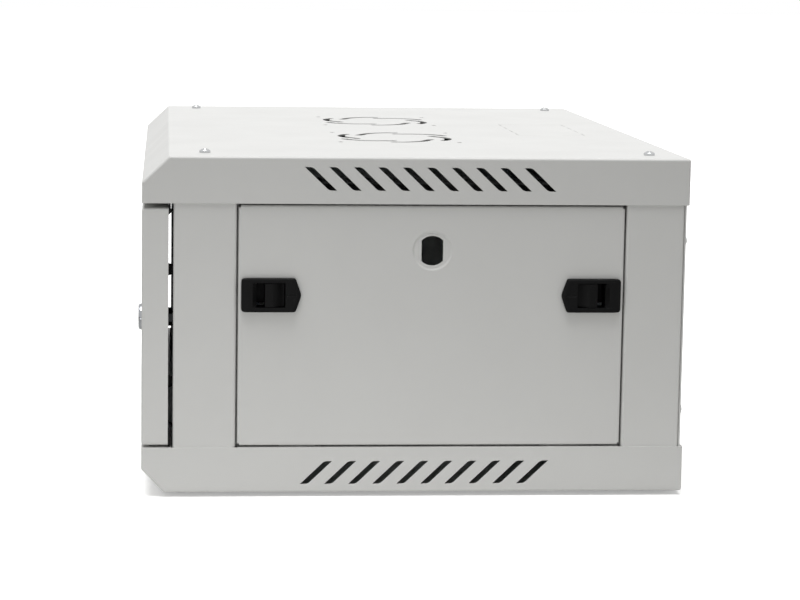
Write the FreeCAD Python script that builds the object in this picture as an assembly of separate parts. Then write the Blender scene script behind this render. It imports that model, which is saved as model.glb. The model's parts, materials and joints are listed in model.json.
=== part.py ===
import FreeCAD, Part

import math
import os

from FreeCAD import Placement, Rotation, Vector

# A four-unit wall cabinet for 19-inch equipment, all sizes in millimetres.
# X runs across the cabinet, Y from the front of the covers to the wall, Z up from the bottom plate.
# What is made on the right side is mirrored in the plane X = 0 for the left side.

# Overall steelwork, built round the opening and the units of the 19-inch rack
rack_opening = 450.85
rack_rail_face = 24.9
rail_to_side = 49.675
width = rack_opening + 2 * (rack_rail_face + rail_to_side)
depth = 450.0
unit_height = 44.45
rack_units = 4
end_height = 50.1
height = rack_units * unit_height + 2 * end_height

# Sheet thicknesses and the inside radius of the folds
cover_sheet = 1.2
post_sheet = 1.5
panel_sheet = 1.0
door_sheet = 1.2
rear_sheet = 1.2
support_sheet = 1.5
rail_sheet = 2.0
fold_radius = 0.8

# Top and bottom covers
top_skirt = 38.4
bottom_skirt = 37.6
top_chamfer_depth = 22.0
top_chamfer_height = 21.0
bottom_chamfer_depth = 18.6
bottom_chamfer_height = 19.5
skirt_fold = 8.0
skirt_fold_gap = 2.0
ledge_gap = 1.0

# Slanted vents in the side skirts
vent_count = 10
vent_pitch = 20.0
vent_width = 6.4
vent_slant = 20.0
vent_height = 19.2
vent_corner_radius = 6.0
vent_below_top = 8.2
vent_above_bottom = 7.0
vent_start_top = 132.0
vent_start_bottom = 130.7

# Fan outlets in the top
fan_outlet_spacing = 196.0
fan_outlet_y = 225.0
fan_slot_count = 6
fan_slot_width = 6.6
fan_slot_outer = 51.2
fan_slot_inner = 38.0
fan_slot_bend = 30.0
fan_slot_turn = 54.0
fan_screw_spacing = 105.0
fan_screw_hole = 4.5

# Cable knock-outs, held by webs between their slits
knockout_width = 128.0
knockout_depth = 62.0
knockout_slit = 0.5
knockout_slit_length = 21.0
knockout_from_rear = 76.0

# Corner posts
post_front = 25.6
front_post_width = 51.4
rear_post_width = 48.4
post_flange = 36.8
post_end_gap = 1.0
post_plate = 3.0
jamb_depth = 12.5
lip_width = 8.0

# Rear panel
rear_inset = 2.4
rear_panel_end_gap = 2.0
wall_hole_diameter = 10.0
wall_hole_spacing_x = 400.0
wall_hole_spacing_z = 150.0
rear_screw_inset = 7.5
rear_screw_spacing = 142.0

# Depth rails of the side frames
depth_rail_height = 30.0
depth_rail_end_space = 20.8
depth_rail_clearance = 1.5
adjust_slot_count = 8
adjust_slot_length = 24.0
adjust_slot_width = 7.0
adjust_slot_radius = 3.2

# 19-inch mounting rails
rack_hole_inset = 7.125
rack_hole_size = 9.5
rack_hole_heights = (6.35, 22.225, 38.1)
rack_rail_web = 36.0
rack_rail_end_space = 14.0
front_rail_setback = 62.0
rear_rail_setback = 70.0
rail_bolt_from_face = 18.0

# Side panels
panel_gap = 1.5
panel_inset = 0.5
panel_seat_gap = 0.4
panel_corner_notch = 1.8
hook_width = 30.0
hook_drop = 8.0
hook_from_edge = 50.0
hook_seat_gap = 0.3
hook_foot = 6.0
lock_hole_diameter = 24.5
lock_hole_flats = 17.8
lock_hole_height = 201.2
dish_diameter = 33.0
dish_depth = 0.9
dish_slope = 1.6

# Slide latches of the side panels
latch_length = 49.4
latch_height = 28.0
latch_point = 5.0
latch_corner_radius = 3.3
latch_thickness = 4.0
latch_edge = 1.0
latch_tip_radius = 1.0
latch_mark_start = 3.0
latch_mark_length = 9.0
latch_mark_width = 1.0
latch_mark_depth = 0.6
latch_from_edge = 2.5
latch_centre_height = 164.5
latch_body_start = 8.0
latch_body_length = 33.0
latch_body_height = 25.0
latch_window_start = 12.5
latch_window_length = 23.5
latch_window_height = 20.5
latch_travel = 6.5
slide_clearance = 0.35
slide_rib_depth = 1.0
slide_rib_thickness = 2.0
slide_rib_level = 8.0
bolt_thickness = 3.0
bolt_height = 17.0
bolt_end_gap = 1.0
bolt_lip_gap = 2.1
latch_window_slope = 3.0
pad_recess = 0.4
pad_scoop_radius = 16.0
pad_scoop_edge = 1.2
cutout_clearance = 0.3
snap_height = 1.2
snap_length = 10.0
snap_drop = 5.0

# Door
door_depth = 21.7
door_gap_top = 4.0
door_gap_bottom = 2.0
door_front_radius = 2.4
door_stile = 52.0
door_bar = 26.0
door_lip = 16.0
glass_thickness = 4.0
glass_overlap = 11.0
glass_seal_thickness = 1.6
glass_seal_width = 9.0
glass_corner_radius = 4.0
window_corner_radius = 3.0

# Door hinge
hinge_inset = 9.0
hinge_from_front = 9.5
hinge_pin_diameter = 6.0
hinge_pin_reach = 9.0
hinge_head_diameter = 10.0
hinge_head_thickness = 2.0
hinge_running_gap = 0.08
bush_wall = 1.6
bush_flange_diameter = 13.0
bush_seat_gap = 0.3
bush_length = 8.0
hinge_plate_thickness = 2.0
hinge_plate_length = 34.0

# Cam lock of the door
lock_inset = 27.0
lock_above_middle = 4.7
lock_proud = 2.8
lock_face_diameter = 21.5
lock_face_bevel = 1.0
lock_body_diameter = 15.6
lock_body_flats = 13.6
lock_body_length = 26.4
lock_plug_diameter = 11.0
lock_plug_gap = 0.05
lock_plug_recess = 0.5
lock_square = 6.6
lock_square_gap = 0.1
key_slot_length = 7.0
key_slot_width = 1.8
key_slot_depth = 3.0
cam_thickness = 2.0
cam_behind_post = 2.1
cam_reach = 20.0
cam_width = 13.0
cam_root_radius = 5.8
cam_tip_radius = 3.2
cam_notch_side_gap = 3.0
cam_notch_end_gap = 6.0
lock_nut_across = 21.0
lock_nut_thickness = 4.0

# Rubber buffers and corner stops on the back of the door
buffer_diameter = 10.0
buffer_spacing = 93.0
buffer_inset = 11.0
buffer_stem_diameter = 4.0
buffer_stem_length = 4.5
buffer_gap = 0.3
buffer_tip_share = 0.85
stop_gap = 0.6
stop_plate = 1.8
stop_upper_end = 229.9
stop_lower_end = 58.0
stop_wedge = 3.5

# Fasteners
cover_screw_head = 9.2
cover_screw_head_height = 3.6
cover_screw_shank = 5.0
cover_screw_length = 11.0
cover_screw_inset = 35.0
rear_screw_head = 8.4
rear_screw_head_height = 2.4
rear_screw_shank = 4.8
rear_screw_length = 9.0
rail_screw_head = 10.0
rail_screw_head_height = 3.4
rail_screw_shank = 6.0
rail_screw_hole = 6.6
rail_nut_across = 10.0
rail_nut_thickness = 5.0
rail_screw_proud = 1.0
cam_screw_head = 7.0
cam_screw_head_height = 2.4
cam_screw_shank = 3.6
cam_screw_length = 7.0
head_rim_share = 0.45
thread_gap = 0.05
hole_clearance = 0.3
cut_margin = 1.0

# Places that follow from the sizes
side_face = width / 2 - cover_sheet
front_post_back = post_front + front_post_width
rear_face = depth - rear_inset
rear_post_back = rear_face - rear_sheet
rear_post_front = rear_post_back - rear_post_width
front_post_middle = (post_front + front_post_back) / 2
rear_post_middle = (rear_post_front + rear_post_back) / 2
flange_end = side_face - post_flange
lip_face = side_face - jamb_depth
post_low = cover_sheet + post_end_gap
post_high = height - cover_sheet - post_end_gap
top_skirt_edge = height - top_skirt
cover_screw_x = width / 2 - cover_screw_inset
rear_screw_x = side_face - rear_screw_inset
rear_screw_heights = [height / 2 - rear_screw_spacing / 2, height / 2 + rear_screw_spacing / 2]
rack_hole_x = rack_opening / 2 + rack_hole_inset
rail_web_face = rack_opening / 2 + rack_rail_face
depth_rail_low = cover_sheet + depth_rail_end_space
depth_rail_high = height - cover_sheet - depth_rail_end_space - depth_rail_height
rail_bolt_heights = [low + depth_rail_height / 2 for low in (depth_rail_low, depth_rail_high)]
front_rail_face = front_rail_setback
rear_rail_face = depth - rear_rail_setback
front_bolt_y = front_rail_face + rail_bolt_from_face
rear_bolt_y = rear_rail_face - rail_bolt_from_face
panel_face = side_face - panel_inset
panel_front = front_post_back + panel_gap
panel_rear = rear_post_front - panel_gap
panel_low = bottom_skirt + panel_gap
panel_high = top_skirt_edge - panel_gap
panel_return = panel_face - lip_face - panel_seat_gap
panel_middle = (panel_front + panel_rear) / 2
door_low = bottom_skirt + door_gap_bottom
door_high = top_skirt_edge - door_gap_top
door_middle = (door_low + door_high) / 2
window_half_width = side_face - door_stile
window_low = door_low + door_bar
window_high = door_high - door_bar
hinge_x = -(side_face - hinge_inset)
hinge_y = hinge_from_front
bush_radius = hinge_pin_diameter / 2 + hinge_running_gap + bush_wall
lock_x = side_face - lock_inset
lock_z = door_middle + lock_above_middle
cam_front = post_front + post_sheet + cam_behind_post
cam_back = cam_front + cam_thickness

# The model's origin lies under the middle of the whole cabinet, at the level of the lowest screw heads
origin = Vector(0, (depth - lock_proud) / 2, -cover_screw_head_height)


def block(x_range, y_range, z_range):
    """Box between two values along each axis."""
    low = Vector(min(x_range), min(y_range), min(z_range))
    high = Vector(max(x_range), max(y_range), max(z_range))
    size = high - low
    return Part.makeBox(size.x, size.y, size.z, low)


def around(centre, extent):
    """Range of a given extent about a centre."""
    return (centre - extent / 2, centre + extent / 2)


def plan(x, y):
    return Vector(x, y, 0)


def side(y, z):
    return Vector(0, y, z)


def front(x, z):
    return Vector(x, 0, z)


def rounded_face(corners, radii, plane):
    """Flat face with straight sides between its corners and an arc at each corner that has a radius."""
    stretches = []
    count = len(corners)
    points = [Vector(u, v, 0) for u, v in corners]
    for index in range(count):
        corner = points[index]
        back = (points[index - 1] - corner).normalize()
        ahead = (points[(index + 1) % count] - corner).normalize()
        radius = radii[index]
        if radius == 0:
            stretches.append([corner])
            continue
        half_angle = back.getAngle(ahead) / 2
        inward = (back + ahead).normalize()
        reach = radius / math.tan(half_angle)
        middle = corner + inward * (radius / math.sin(half_angle) - radius)
        stretches.append([corner + back * reach, middle, corner + ahead * reach])
    edges = []
    for index, stretch in enumerate(stretches):
        placed = [plane(point.x, point.y) for point in stretch]
        if len(placed) == 3:
            edges.append(Part.Arc(*placed).toShape())
        following = stretches[(index + 1) % count][0]
        target = plane(following.x, following.y)
        if placed[-1].distanceToPoint(target) > 1e-6:
            edges.append(Part.LineSegment(placed[-1], target).toShape())
    return Part.Face(Part.Wire(edges))


def rounded_rectangle(u_range, v_range, radius, plane):
    """Rectangle with four equal corner arcs."""
    (u0, u1), (v0, v1) = u_range, v_range
    return rounded_face([(u0, v0), (u1, v0), (u1, v1), (u0, v1)], [radius] * 4, plane)


def folded_strip(points, sheet):
    """Plan section of a folded sheet whose outer face follows the points, with the metal on the left."""
    path = [Vector(x, y, 0) for x, y in points]
    runs = [(b - a).normalize() for a, b in zip(path, path[1:])]
    normals = [Vector(-run.y, run.x, 0) for run in runs]
    near = [path[0]]
    far = [path[0] + normals[0] * sheet]
    near_radii = [0]
    far_radii = [0]
    for index in range(1, len(path) - 1):
        before, after = normals[index - 1], normals[index]
        near.append(path[index])
        far.append(path[index] + (before + after) * (sheet / (1 + before.dot(after))))
        left_turn = runs[index - 1].cross(runs[index]).z > 0
        near_radii.append(fold_radius + sheet if left_turn else fold_radius)
        far_radii.append(fold_radius if left_turn else fold_radius + sheet)
    near.append(path[-1])
    far.append(path[-1] + normals[-1] * sheet)
    near_radii.append(0)
    far_radii.append(0)
    corners = [(p.x, p.y) for p in near + far[::-1]]
    return rounded_face(corners, near_radii + far_radii[::-1], plan)


def upright(face, low, high):
    """Column of a plan face between two heights."""
    column = face.extrude(Vector(0, 0, high - low))
    column.translate(Vector(0, 0, low))
    return column


def across(face, start, end):
    """Bar of a side face between two places along X."""
    bar = face.extrude(Vector(end - start, 0, 0))
    bar.translate(Vector(start, 0, 0))
    return bar


def through(face, start, end):
    """Bar of a front face between two places along Y."""
    bar = face.extrude(Vector(0, end - start, 0))
    bar.translate(Vector(0, start, 0))
    return bar


def rod(diameter, start, direction, length):
    """Round bar from a start point along a direction."""
    return Part.makeCylinder(diameter / 2, length, start, direction)


def hexagon(across_flats, thickness, bore):
    """Hexagonal nut that stands on the plane Z = 0."""
    corner_radius = across_flats / math.sqrt(3)
    corners = [Vector(corner_radius, 0, 0)]
    for index in range(1, 7):
        angle = math.radians(60 * index)
        corners.append(Vector(corner_radius * math.cos(angle), corner_radius * math.sin(angle), 0))
    nut = Part.Face(Part.makePolygon(corners)).extrude(Vector(0, 0, thickness))
    return nut.cut(rod(bore, Vector(0, 0, -cut_margin), Vector(0, 0, 1), thickness + 2 * cut_margin))


def dome_middle(rim, crown):
    """Point half way along the arc from a rim to its crown on the axis, with the arc's centre on the axis."""
    rise = crown.z - rim.z
    radius = (rim.x**2 + rise**2) / (2 * rise)
    half_angle = math.asin(rim.x / radius) / 2
    return Vector(radius * math.sin(half_angle), 0, crown.z - radius + radius * math.cos(half_angle))


def turned(points, domed=False):
    """Solid turned about Z from radius and height points, whose last side may be a dome up to the axis."""
    corners = [Vector(radius, 0, level) for radius, level in points]
    edges = []
    for index, start in enumerate(corners):
        end = corners[(index + 1) % len(corners)]
        if domed and index == len(corners) - 2:
            edges.append(Part.Arc(start, dome_middle(start, end), end).toShape())
        else:
            edges.append(Part.LineSegment(start, end).toShape())
    return Part.Face(Part.Wire(edges)).revolve(Vector(), Vector(0, 0, 1), 360)


def pan_screw(head, head_height, shank, length):
    """Screw with a domed head that sits on Z = 0 and a shank that goes down."""
    rim = head_height * head_rim_share
    points = [(0, -length), (shank / 2, -length), (shank / 2, 0)]
    points += [(head / 2, 0), (head / 2, rim), (0, head_height)]
    return turned(points, domed=True)


def placed(shape, position, direction):
    """Copy of a shape whose Z axis is turned to a direction and whose origin is moved to a position."""
    copy = shape.copy()
    copy.Placement = Placement(position, Rotation(Vector(0, 0, 1), direction))
    return copy


def mirrored(shape):
    """The same shape on the left side."""
    return shape.mirror(Vector(), Vector(1, 0, 0))


def both_sides(shape):
    return [shape, mirrored(shape)]


def merged(shapes):
    """One solid of shapes that join."""
    whole = shapes[0]
    for shape in shapes[1:]:
        whole = whole.fuse(shape)
    return whole.removeSplitter()


def open_tray(solid, open_side, sheet, radius):
    """Sheet tray of a block, with its outer edges rounded and the face towards open_side left open."""
    def lies_open(face):
        return face.normalAt(0, 0).getAngle(open_side) < 1e-4

    open_face = [face for face in solid.Faces if lies_open(face)][0]
    open_edges = [edge.CenterOfMass for edge in open_face.Edges]

    def is_outer(edge):
        return all(edge.CenterOfMass.distanceToPoint(point) > 1e-4 for point in open_edges)

    rounded = solid.makeFillet(radius, [edge for edge in solid.Edges if is_outer(edge)])
    openings = [face for face in rounded.Faces if lies_open(face)]
    return rounded.makeThickness(openings, -sheet, 1e-3)


def blunt_radii(corners, radius):
    """The radius at each corner wider than a right angle, and none at the sharp ones."""
    radii = []
    for index, corner in enumerate(corners):
        here = Vector(*corner, 0)
        back = Vector(*corners[index - 1], 0) - here
        ahead = Vector(*corners[(index + 1) % len(corners)], 0) - here
        radii.append(radius if back.dot(ahead) < 0 else 0)
    return radii


def slanted_vents(start, low, rises):
    """Row of slanted slots through both side skirts; rising ones lean to the wall at their top."""
    lean_low, lean_high = (0, vent_slant) if rises else (vent_slant, 0)
    cutters = []
    for index in range(vent_count):
        y = start + index * vent_pitch
        corners = [
            (y + lean_low, low),
            (y + lean_low + vent_width, low),
            (y + lean_high + vent_width, low + vent_height),
            (y + lean_high, low + vent_height),
        ]
        slot = rounded_face(corners, blunt_radii(corners, vent_corner_radius), side)
        cutters.append(across(slot, -width / 2 - cut_margin, width / 2 + cut_margin))
    return cutters


def swirl_slot():
    """S-shaped slot of two equal arcs that leaves the outer radius and joins the inner one along it."""
    half = fan_slot_width / 2
    bend = fan_slot_bend
    outer_centre = fan_slot_outer - bend
    inner_centre = fan_slot_inner + bend
    cosine = (outer_centre**2 + inner_centre**2 - (2 * bend) ** 2) / (2 * outer_centre * inner_centre)
    sweep = math.acos(cosine)
    first = Vector(outer_centre, 0, 0)
    second = Vector(inner_centre * math.cos(sweep), inner_centre * math.sin(sweep), 0)
    link = math.atan2(second.y - first.y, second.x - first.x)

    def point(centre, radius, angle):
        return centre + Vector(radius * math.cos(angle), radius * math.sin(angle), 0)

    def arc(centre, radius, start, end):
        ends = [point(centre, radius, angle) for angle in (start, (start + end) / 2, end)]
        return Part.Arc(*ends).toShape()

    inner_end = point(Vector(), fan_slot_inner, sweep)
    outer_end = Vector(fan_slot_outer, 0, 0)
    edges = [
        arc(first, bend + half, 0, link),
        arc(second, bend - half, link + math.pi, sweep + math.pi),
        arc(inner_end, half, sweep, sweep + math.pi),
        arc(second, bend + half, sweep + math.pi, link + math.pi),
        arc(first, bend - half, link, 0),
        arc(outer_end, half, math.pi, 2 * math.pi),
    ]
    return Part.Face(Part.Wire(edges))


def fan_outlet(x):
    """Cutters of one fan outlet: the ring of swirl slots and the four screw holes of the fan."""
    low = height - cover_sheet - cut_margin
    slot = upright(swirl_slot(), low, height + cut_margin)
    cutters = []
    for index in range(fan_slot_count):
        cutter = slot.copy()
        cutter.rotate(Vector(), Vector(0, 0, 1), fan_slot_turn + index * 360 / fan_slot_count)
        cutter.translate(Vector(x, fan_outlet_y, 0))
        cutters.append(cutter)
    for x_hole in around(x, fan_screw_spacing):
        for y_hole in around(fan_outlet_y, fan_screw_spacing):
            start = Vector(x_hole, y_hole, low)
            cutters.append(rod(fan_screw_hole, start, Vector(0, 0, 1), cover_sheet + 2 * cut_margin))
    return cutters


def spread(extent, length):
    """Ranges of equal slits along an extent, from end to end, with webs about as long between them."""
    count = max(2, round((extent / length + 1) / 2))
    step = (extent - length) / (count - 1)
    return [(-extent / 2 + index * step, -extent / 2 + index * step + length) for index in range(count)]


def knockout_slits(u_centre, v_centre, cut):
    """Slits round a knock-out; cut(u_range, v_range) makes one through the sheet."""
    slits = []
    for sign in (-1, 1):
        v_edge = v_centre + sign * (knockout_depth - knockout_slit) / 2
        u_edge = u_centre + sign * (knockout_width - knockout_slit) / 2
        for start, end in spread(knockout_width, knockout_slit_length):
            slits.append(cut((u_centre + start, u_centre + end), around(v_edge, knockout_slit)))
        for start, end in spread(knockout_depth, knockout_slit_length):
            slits.append(cut(around(u_edge, knockout_slit), (v_centre + start, v_centre + end)))
    return merged(slits)


def cover_screw_places():
    return [(x, y) for x in (-cover_screw_x, cover_screw_x) for y in (front_post_middle, rear_post_middle)]


def cover_fittings(edge, inner, plate):
    """Hinge ledge, side folds and holes of a cover: edge and inner are the two faces of its ledge."""
    low, high = min(edge, inner), max(edge, inner)
    ledge = block((-side_face, side_face), (cover_sheet / 2, post_front - ledge_gap), (low, high))
    fold_y = (front_post_back + skirt_fold_gap, rear_post_front - skirt_fold_gap)
    fold = block((side_face - skirt_fold, side_face + cover_sheet / 2), fold_y, (low, high))
    plate_low, plate_high = min(plate), max(plate)
    holes = []
    for x, y in cover_screw_places():
        start = Vector(x, y, plate_low - cut_margin)
        size = cover_screw_shank + 2 * hole_clearance
        holes.append(rod(size, start, Vector(0, 0, 1), plate_high - plate_low + 2 * cut_margin))
    for x in (-hinge_x, hinge_x):
        start = Vector(x, hinge_y, low - cut_margin)
        size = hinge_pin_diameter + 2 * thread_gap
        holes.append(rod(size, start, Vector(0, 0, 1), cover_sheet + 2 * cut_margin))
    return [ledge] + both_sides(fold), holes


def plate_knockout(plate):
    """Cable knock-out of a cover's plate, near the wall."""
    plate_range = (min(plate) - cut_margin, max(plate) + cut_margin)
    return knockout_slits(0, depth - knockout_from_rear, lambda u, v: block(u, v, plate_range))


def cover_tray(corners, open_side):
    """Sheet tray over the full width whose side profile has the given corners."""
    profile = rounded_face(corners, [0] * len(corners), side)
    solid = across(profile, -width / 2, width / 2)
    return open_tray(solid, open_side, cover_sheet, fold_radius + cover_sheet)


def top_cover():
    corners = [
        (0, top_skirt_edge),
        (0, height - top_chamfer_height),
        (top_chamfer_depth, height),
        (depth, height),
        (depth, top_skirt_edge),
    ]
    tray = cover_tray(corners, Vector(0, 0, -1))
    plate = (height - cover_sheet, height)
    joined, holes = cover_fittings(top_skirt_edge, top_skirt_edge + cover_sheet, plate)
    cover = merged([tray] + joined)
    cutters = holes + slanted_vents(vent_start_top, height - vent_below_top - vent_height, rises=False)
    for x in (-fan_outlet_spacing / 2, fan_outlet_spacing / 2):
        cutters += fan_outlet(x)
    cutters.append(plate_knockout(plate))
    return cover.cut(cutters)


def bottom_cover():
    corners = [
        (0, bottom_skirt),
        (0, bottom_chamfer_height),
        (bottom_chamfer_depth, 0),
        (depth, 0),
        (depth, bottom_skirt),
    ]
    tray = cover_tray(corners, Vector(0, 0, 1))
    plate = (0, cover_sheet)
    joined, holes = cover_fittings(bottom_skirt, bottom_skirt - cover_sheet, plate)
    cover = merged([tray] + joined)
    cutters = holes + slanted_vents(vent_start_bottom, vent_above_bottom, rises=True)
    cutters.append(plate_knockout(plate))
    return cover.cut(cutters)


def post_plates(y_range):
    """Tapped plates that close both ends of a corner post and take the cover screws."""
    x_range = (flange_end, side_face - post_sheet / 2)
    lower = (cover_sheet, cover_sheet + post_plate)
    upper = (height - cover_sheet - post_plate, height - cover_sheet)
    return [block(x_range, y_range, z_range) for z_range in (lower, upper)]


def post_screw_holes(y):
    size = cover_screw_shank + 2 * thread_gap
    return rod(size, Vector(cover_screw_x, y, -cut_margin), Vector(0, 0, 1), height + 2 * cut_margin)


def front_post():
    """Right front post: flange to the door with a notch for the lock, side web, jamb and lip."""
    path = [
        (flange_end, post_front),
        (side_face, post_front),
        (side_face, front_post_back),
        (lip_face, front_post_back),
        (lip_face, front_post_back + lip_width),
    ]
    post = upright(folded_strip(path, post_sheet), post_low, post_high)
    plates = post_plates((post_front + post_sheet / 2, front_post_back - post_sheet / 2))
    lock_notch = block(
        (flange_end - cut_margin, lock_x + lock_body_flats / 2 + cam_notch_side_gap),
        (post_front - cut_margin, post_front + post_sheet + cut_margin),
        (lock_z - lock_body_diameter / 2 - cam_notch_end_gap, lock_z + cam_reach + cam_notch_end_gap),
    )
    return merged([post] + plates).cut([lock_notch, post_screw_holes(front_post_middle)])


def rear_post():
    """Right rear post: lip and jamb of the side panel, side web and flange to the rear panel."""
    path = [
        (lip_face, rear_post_front - lip_width),
        (lip_face, rear_post_front),
        (side_face, rear_post_front),
        (side_face, rear_post_back),
        (flange_end, rear_post_back),
    ]
    post = upright(folded_strip(path, post_sheet), post_low, post_high)
    plates = post_plates((rear_post_front + post_sheet / 2, rear_post_back - post_sheet / 2))
    holes = [post_screw_holes(rear_post_middle)]
    size = rear_screw_shank + 2 * thread_gap
    for z in rear_screw_heights:
        start = Vector(rear_screw_x, rear_post_back + cut_margin, z)
        holes.append(rod(size, start, Vector(0, -1, 0), post_sheet + 2 * cut_margin))
    return merged([post] + plates).cut(holes)


def rear_panel():
    """Flat panel with the holes for the wall, the holes of its own screws and a cable knock-out."""
    z_range = (rear_panel_end_gap, height - rear_panel_end_gap)
    sheet = block((-side_face, side_face), (rear_post_back, rear_face), z_range)
    start_y = rear_post_back - cut_margin
    length = rear_sheet + 2 * cut_margin
    holes = []
    for x in around(0, wall_hole_spacing_x):
        for z in around(height / 2, wall_hole_spacing_z):
            holes.append(rod(wall_hole_diameter, Vector(x, start_y, z), Vector(0, 1, 0), length))
    for x in (-rear_screw_x, rear_screw_x):
        for z in rear_screw_heights:
            size = rear_screw_shank + 2 * hole_clearance
            holes.append(rod(size, Vector(x, start_y, z), Vector(0, 1, 0), length))
    y_range = (start_y, start_y + length)
    holes.append(knockout_slits(0, height / 2, lambda u, v: block(u, y_range, v)))
    return sheet.cut(holes)


def adjust_slots(low):
    """Round-ended slots along a depth rail, from the front rail's bolt to the rear one's."""
    step = (rear_bolt_y - front_bolt_y) / (adjust_slot_count - 1)
    level = low + depth_rail_height / 2
    slots = []
    for index in range(adjust_slot_count):
        y_range = around(front_bolt_y + index * step, adjust_slot_length)
        face = rounded_rectangle(y_range, around(level, adjust_slot_width), adjust_slot_radius, side)
        slots.append(across(face, rail_web_face - cut_margin, rail_web_face + support_sheet + cut_margin))
    return slots


def depth_rail(low):
    """Channel from the front post to the rear post, open to the outside, that carries the mounting rails."""
    high = low + depth_rail_height
    outer = lip_face - post_sheet - depth_rail_clearance
    path = [(outer, low), (rail_web_face, low), (rail_web_face, high), (outer, high)]
    section = channel_section(path, support_sheet)
    rail = through(section, post_front + post_sheet, rear_post_back - post_sheet)
    return rail.cut(adjust_slots(low))


def channel_section(path, sheet):
    """Front-view section of a channel whose outer face follows the path, with the metal inside it."""
    (x_open, low), (x_web, _), (_, high), _ = path
    outer = fold_radius + sheet
    corners = [
        (x_open, low),
        (x_web, low),
        (x_web, high),
        (x_open, high),
        (x_open, high - sheet),
        (x_web + sheet, high - sheet),
        (x_web + sheet, low + sheet),
        (x_open, low + sheet),
    ]
    return rounded_face(corners, [0, outer, outer, 0, 0, fold_radius, fold_radius, 0], front)


def rack_rail(path, face_range):
    """Right mounting rail: a folded angle with three square holes to each rack unit and two bolt holes."""
    low = cover_sheet + rack_rail_end_space
    high = height - cover_sheet - rack_rail_end_space
    rail = upright(folded_strip(path, rail_sheet), low, high)
    cutters = []
    for unit in range(rack_units):
        for level in rack_hole_heights:
            z = end_height + unit * unit_height + level
            hole = (around(rack_hole_x, rack_hole_size), face_range, around(z, rack_hole_size))
            cutters.append(block(*hole))
    bolt_y = front_bolt_y if path[0][0] < path[-1][0] else rear_bolt_y
    for z in rail_bolt_heights:
        start = Vector(rail_web_face - rail_sheet - cut_margin, bolt_y, z)
        cutters.append(rod(rail_screw_hole, start, Vector(1, 0, 0), rail_sheet + 2 * cut_margin))
    return rail.cut(cutters)


def front_rack_rail():
    path = [
        (rack_opening / 2, front_rail_face),
        (rail_web_face, front_rail_face),
        (rail_web_face, front_rail_face + rack_rail_web),
    ]
    return rack_rail(path, (front_rail_face - cut_margin, front_rail_face + rail_sheet + cut_margin))


def rear_rack_rail():
    path = [
        (rail_web_face, rear_rail_face - rack_rail_web),
        (rail_web_face, rear_rail_face),
        (rack_opening / 2, rear_rail_face),
    ]
    return rack_rail(path, (rear_rail_face - rail_sheet - cut_margin, rear_rail_face + cut_margin))


def rail_bolt_places():
    return [(y, z) for y in (front_bolt_y, rear_bolt_y) for z in rail_bolt_heights]


def rail_screws():
    """Screws that clamp the mounting rails to the depth rails, with their heads inside."""
    grip = rail_sheet + support_sheet + rail_nut_thickness + rail_screw_proud
    screw = pan_screw(rail_screw_head, rail_screw_head_height, rail_screw_shank, grip)
    screws = []
    for y, z in rail_bolt_places():
        screws += both_sides(placed(screw, Vector(rail_web_face - rail_sheet, y, z), Vector(-1, 0, 0)))
    return screws


def rail_nuts():
    nut = hexagon(rail_nut_across, rail_nut_thickness, rail_screw_shank + 2 * thread_gap)
    nuts = []
    for y, z in rail_bolt_places():
        nuts += both_sides(placed(nut, Vector(rail_web_face + support_sheet, y, z), Vector(1, 0, 0)))
    return nuts


def double_d(u_centre, v_centre, start, end):
    """Bar along X with the outline of the side lock's hole: a circle with two upright flats."""
    circle = rod(lock_hole_diameter, Vector(start, u_centre, v_centre), Vector(1, 0, 0), end - start)
    band = block((start, end), around(u_centre, lock_hole_flats), around(v_centre, lock_hole_diameter))
    return circle.common(band)


def pressed_dish(y, z):
    """Shallow dish pressed into the panel's sheet round the lock hole, as its cutter and its metal."""
    rim = dish_diameter / 2
    floor = rim - dish_slope
    sheet = panel_sheet
    hollow = turned([(0, 0), (rim, 0), (floor, -dish_depth), (0, -dish_depth)])
    metal = turned([(0, -dish_depth), (floor, -dish_depth), (rim, 0), (rim, -sheet),
                    (floor, -dish_depth - sheet), (0, -dish_depth - sheet)])
    place = Vector(panel_face, y, z)
    return placed(hollow, place, Vector(1, 0, 0)), placed(metal, place, Vector(1, 0, 0))


def latch_places():
    """Right-hand latches: name, Y of the end next to the post, and the direction of that post."""
    return [
        ("front", panel_front + latch_from_edge, -1),
        ("rear", panel_rear - latch_from_edge, 1),
    ]


def side_panel(punched):
    """Right side panel: a tray with a pressed dish, two latch openings and hooks at its foot.

    The hole for a lock is punched through the dish of one panel only.
    """
    block_x = (panel_face - panel_return, panel_face)
    solid = block(block_x, (panel_front, panel_rear), (panel_low, panel_high))
    tray = open_tray(solid, Vector(-1, 0, 0), panel_sheet, fold_radius + panel_sheet)
    dish_hollow, dish_metal = pressed_dish(panel_middle, lock_hole_height)
    tray = merged([tray.cut(dish_hollow), dish_metal])
    hole_start = panel_face - dish_depth - panel_sheet - cut_margin
    cutters = []
    if punched:
        cutters.append(double_d(panel_middle, lock_hole_height, hole_start, panel_face + cut_margin))
    notch_x = (panel_face - panel_return - cut_margin, panel_face + cut_margin)
    notch = 2 * panel_corner_notch
    for y in (panel_front, panel_rear):
        for z in (panel_low, panel_high):
            cutters.append(block(notch_x, around(y, notch), around(z, notch)))
    for name, y, toward_post in latch_places():
        cutters.append(latch_cutout(y, toward_post))
    tray = tray.cut(cutters)
    hooks = []
    hook_inner = panel_face - panel_return
    for y in (panel_front + hook_from_edge, panel_rear - hook_from_edge):
        y_range = around(y, hook_width)
        hook_z = (bottom_skirt - hook_drop, panel_low + panel_sheet)
        foot_z = (bottom_skirt + hook_seat_gap, panel_low + panel_sheet / 2)
        hooks.append(block((hook_inner, hook_inner + panel_sheet), y_range, hook_z))
        hooks.append(block((hook_inner, hook_inner + hook_foot), y_range, foot_z))
    return merged([tray] + hooks)


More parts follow.
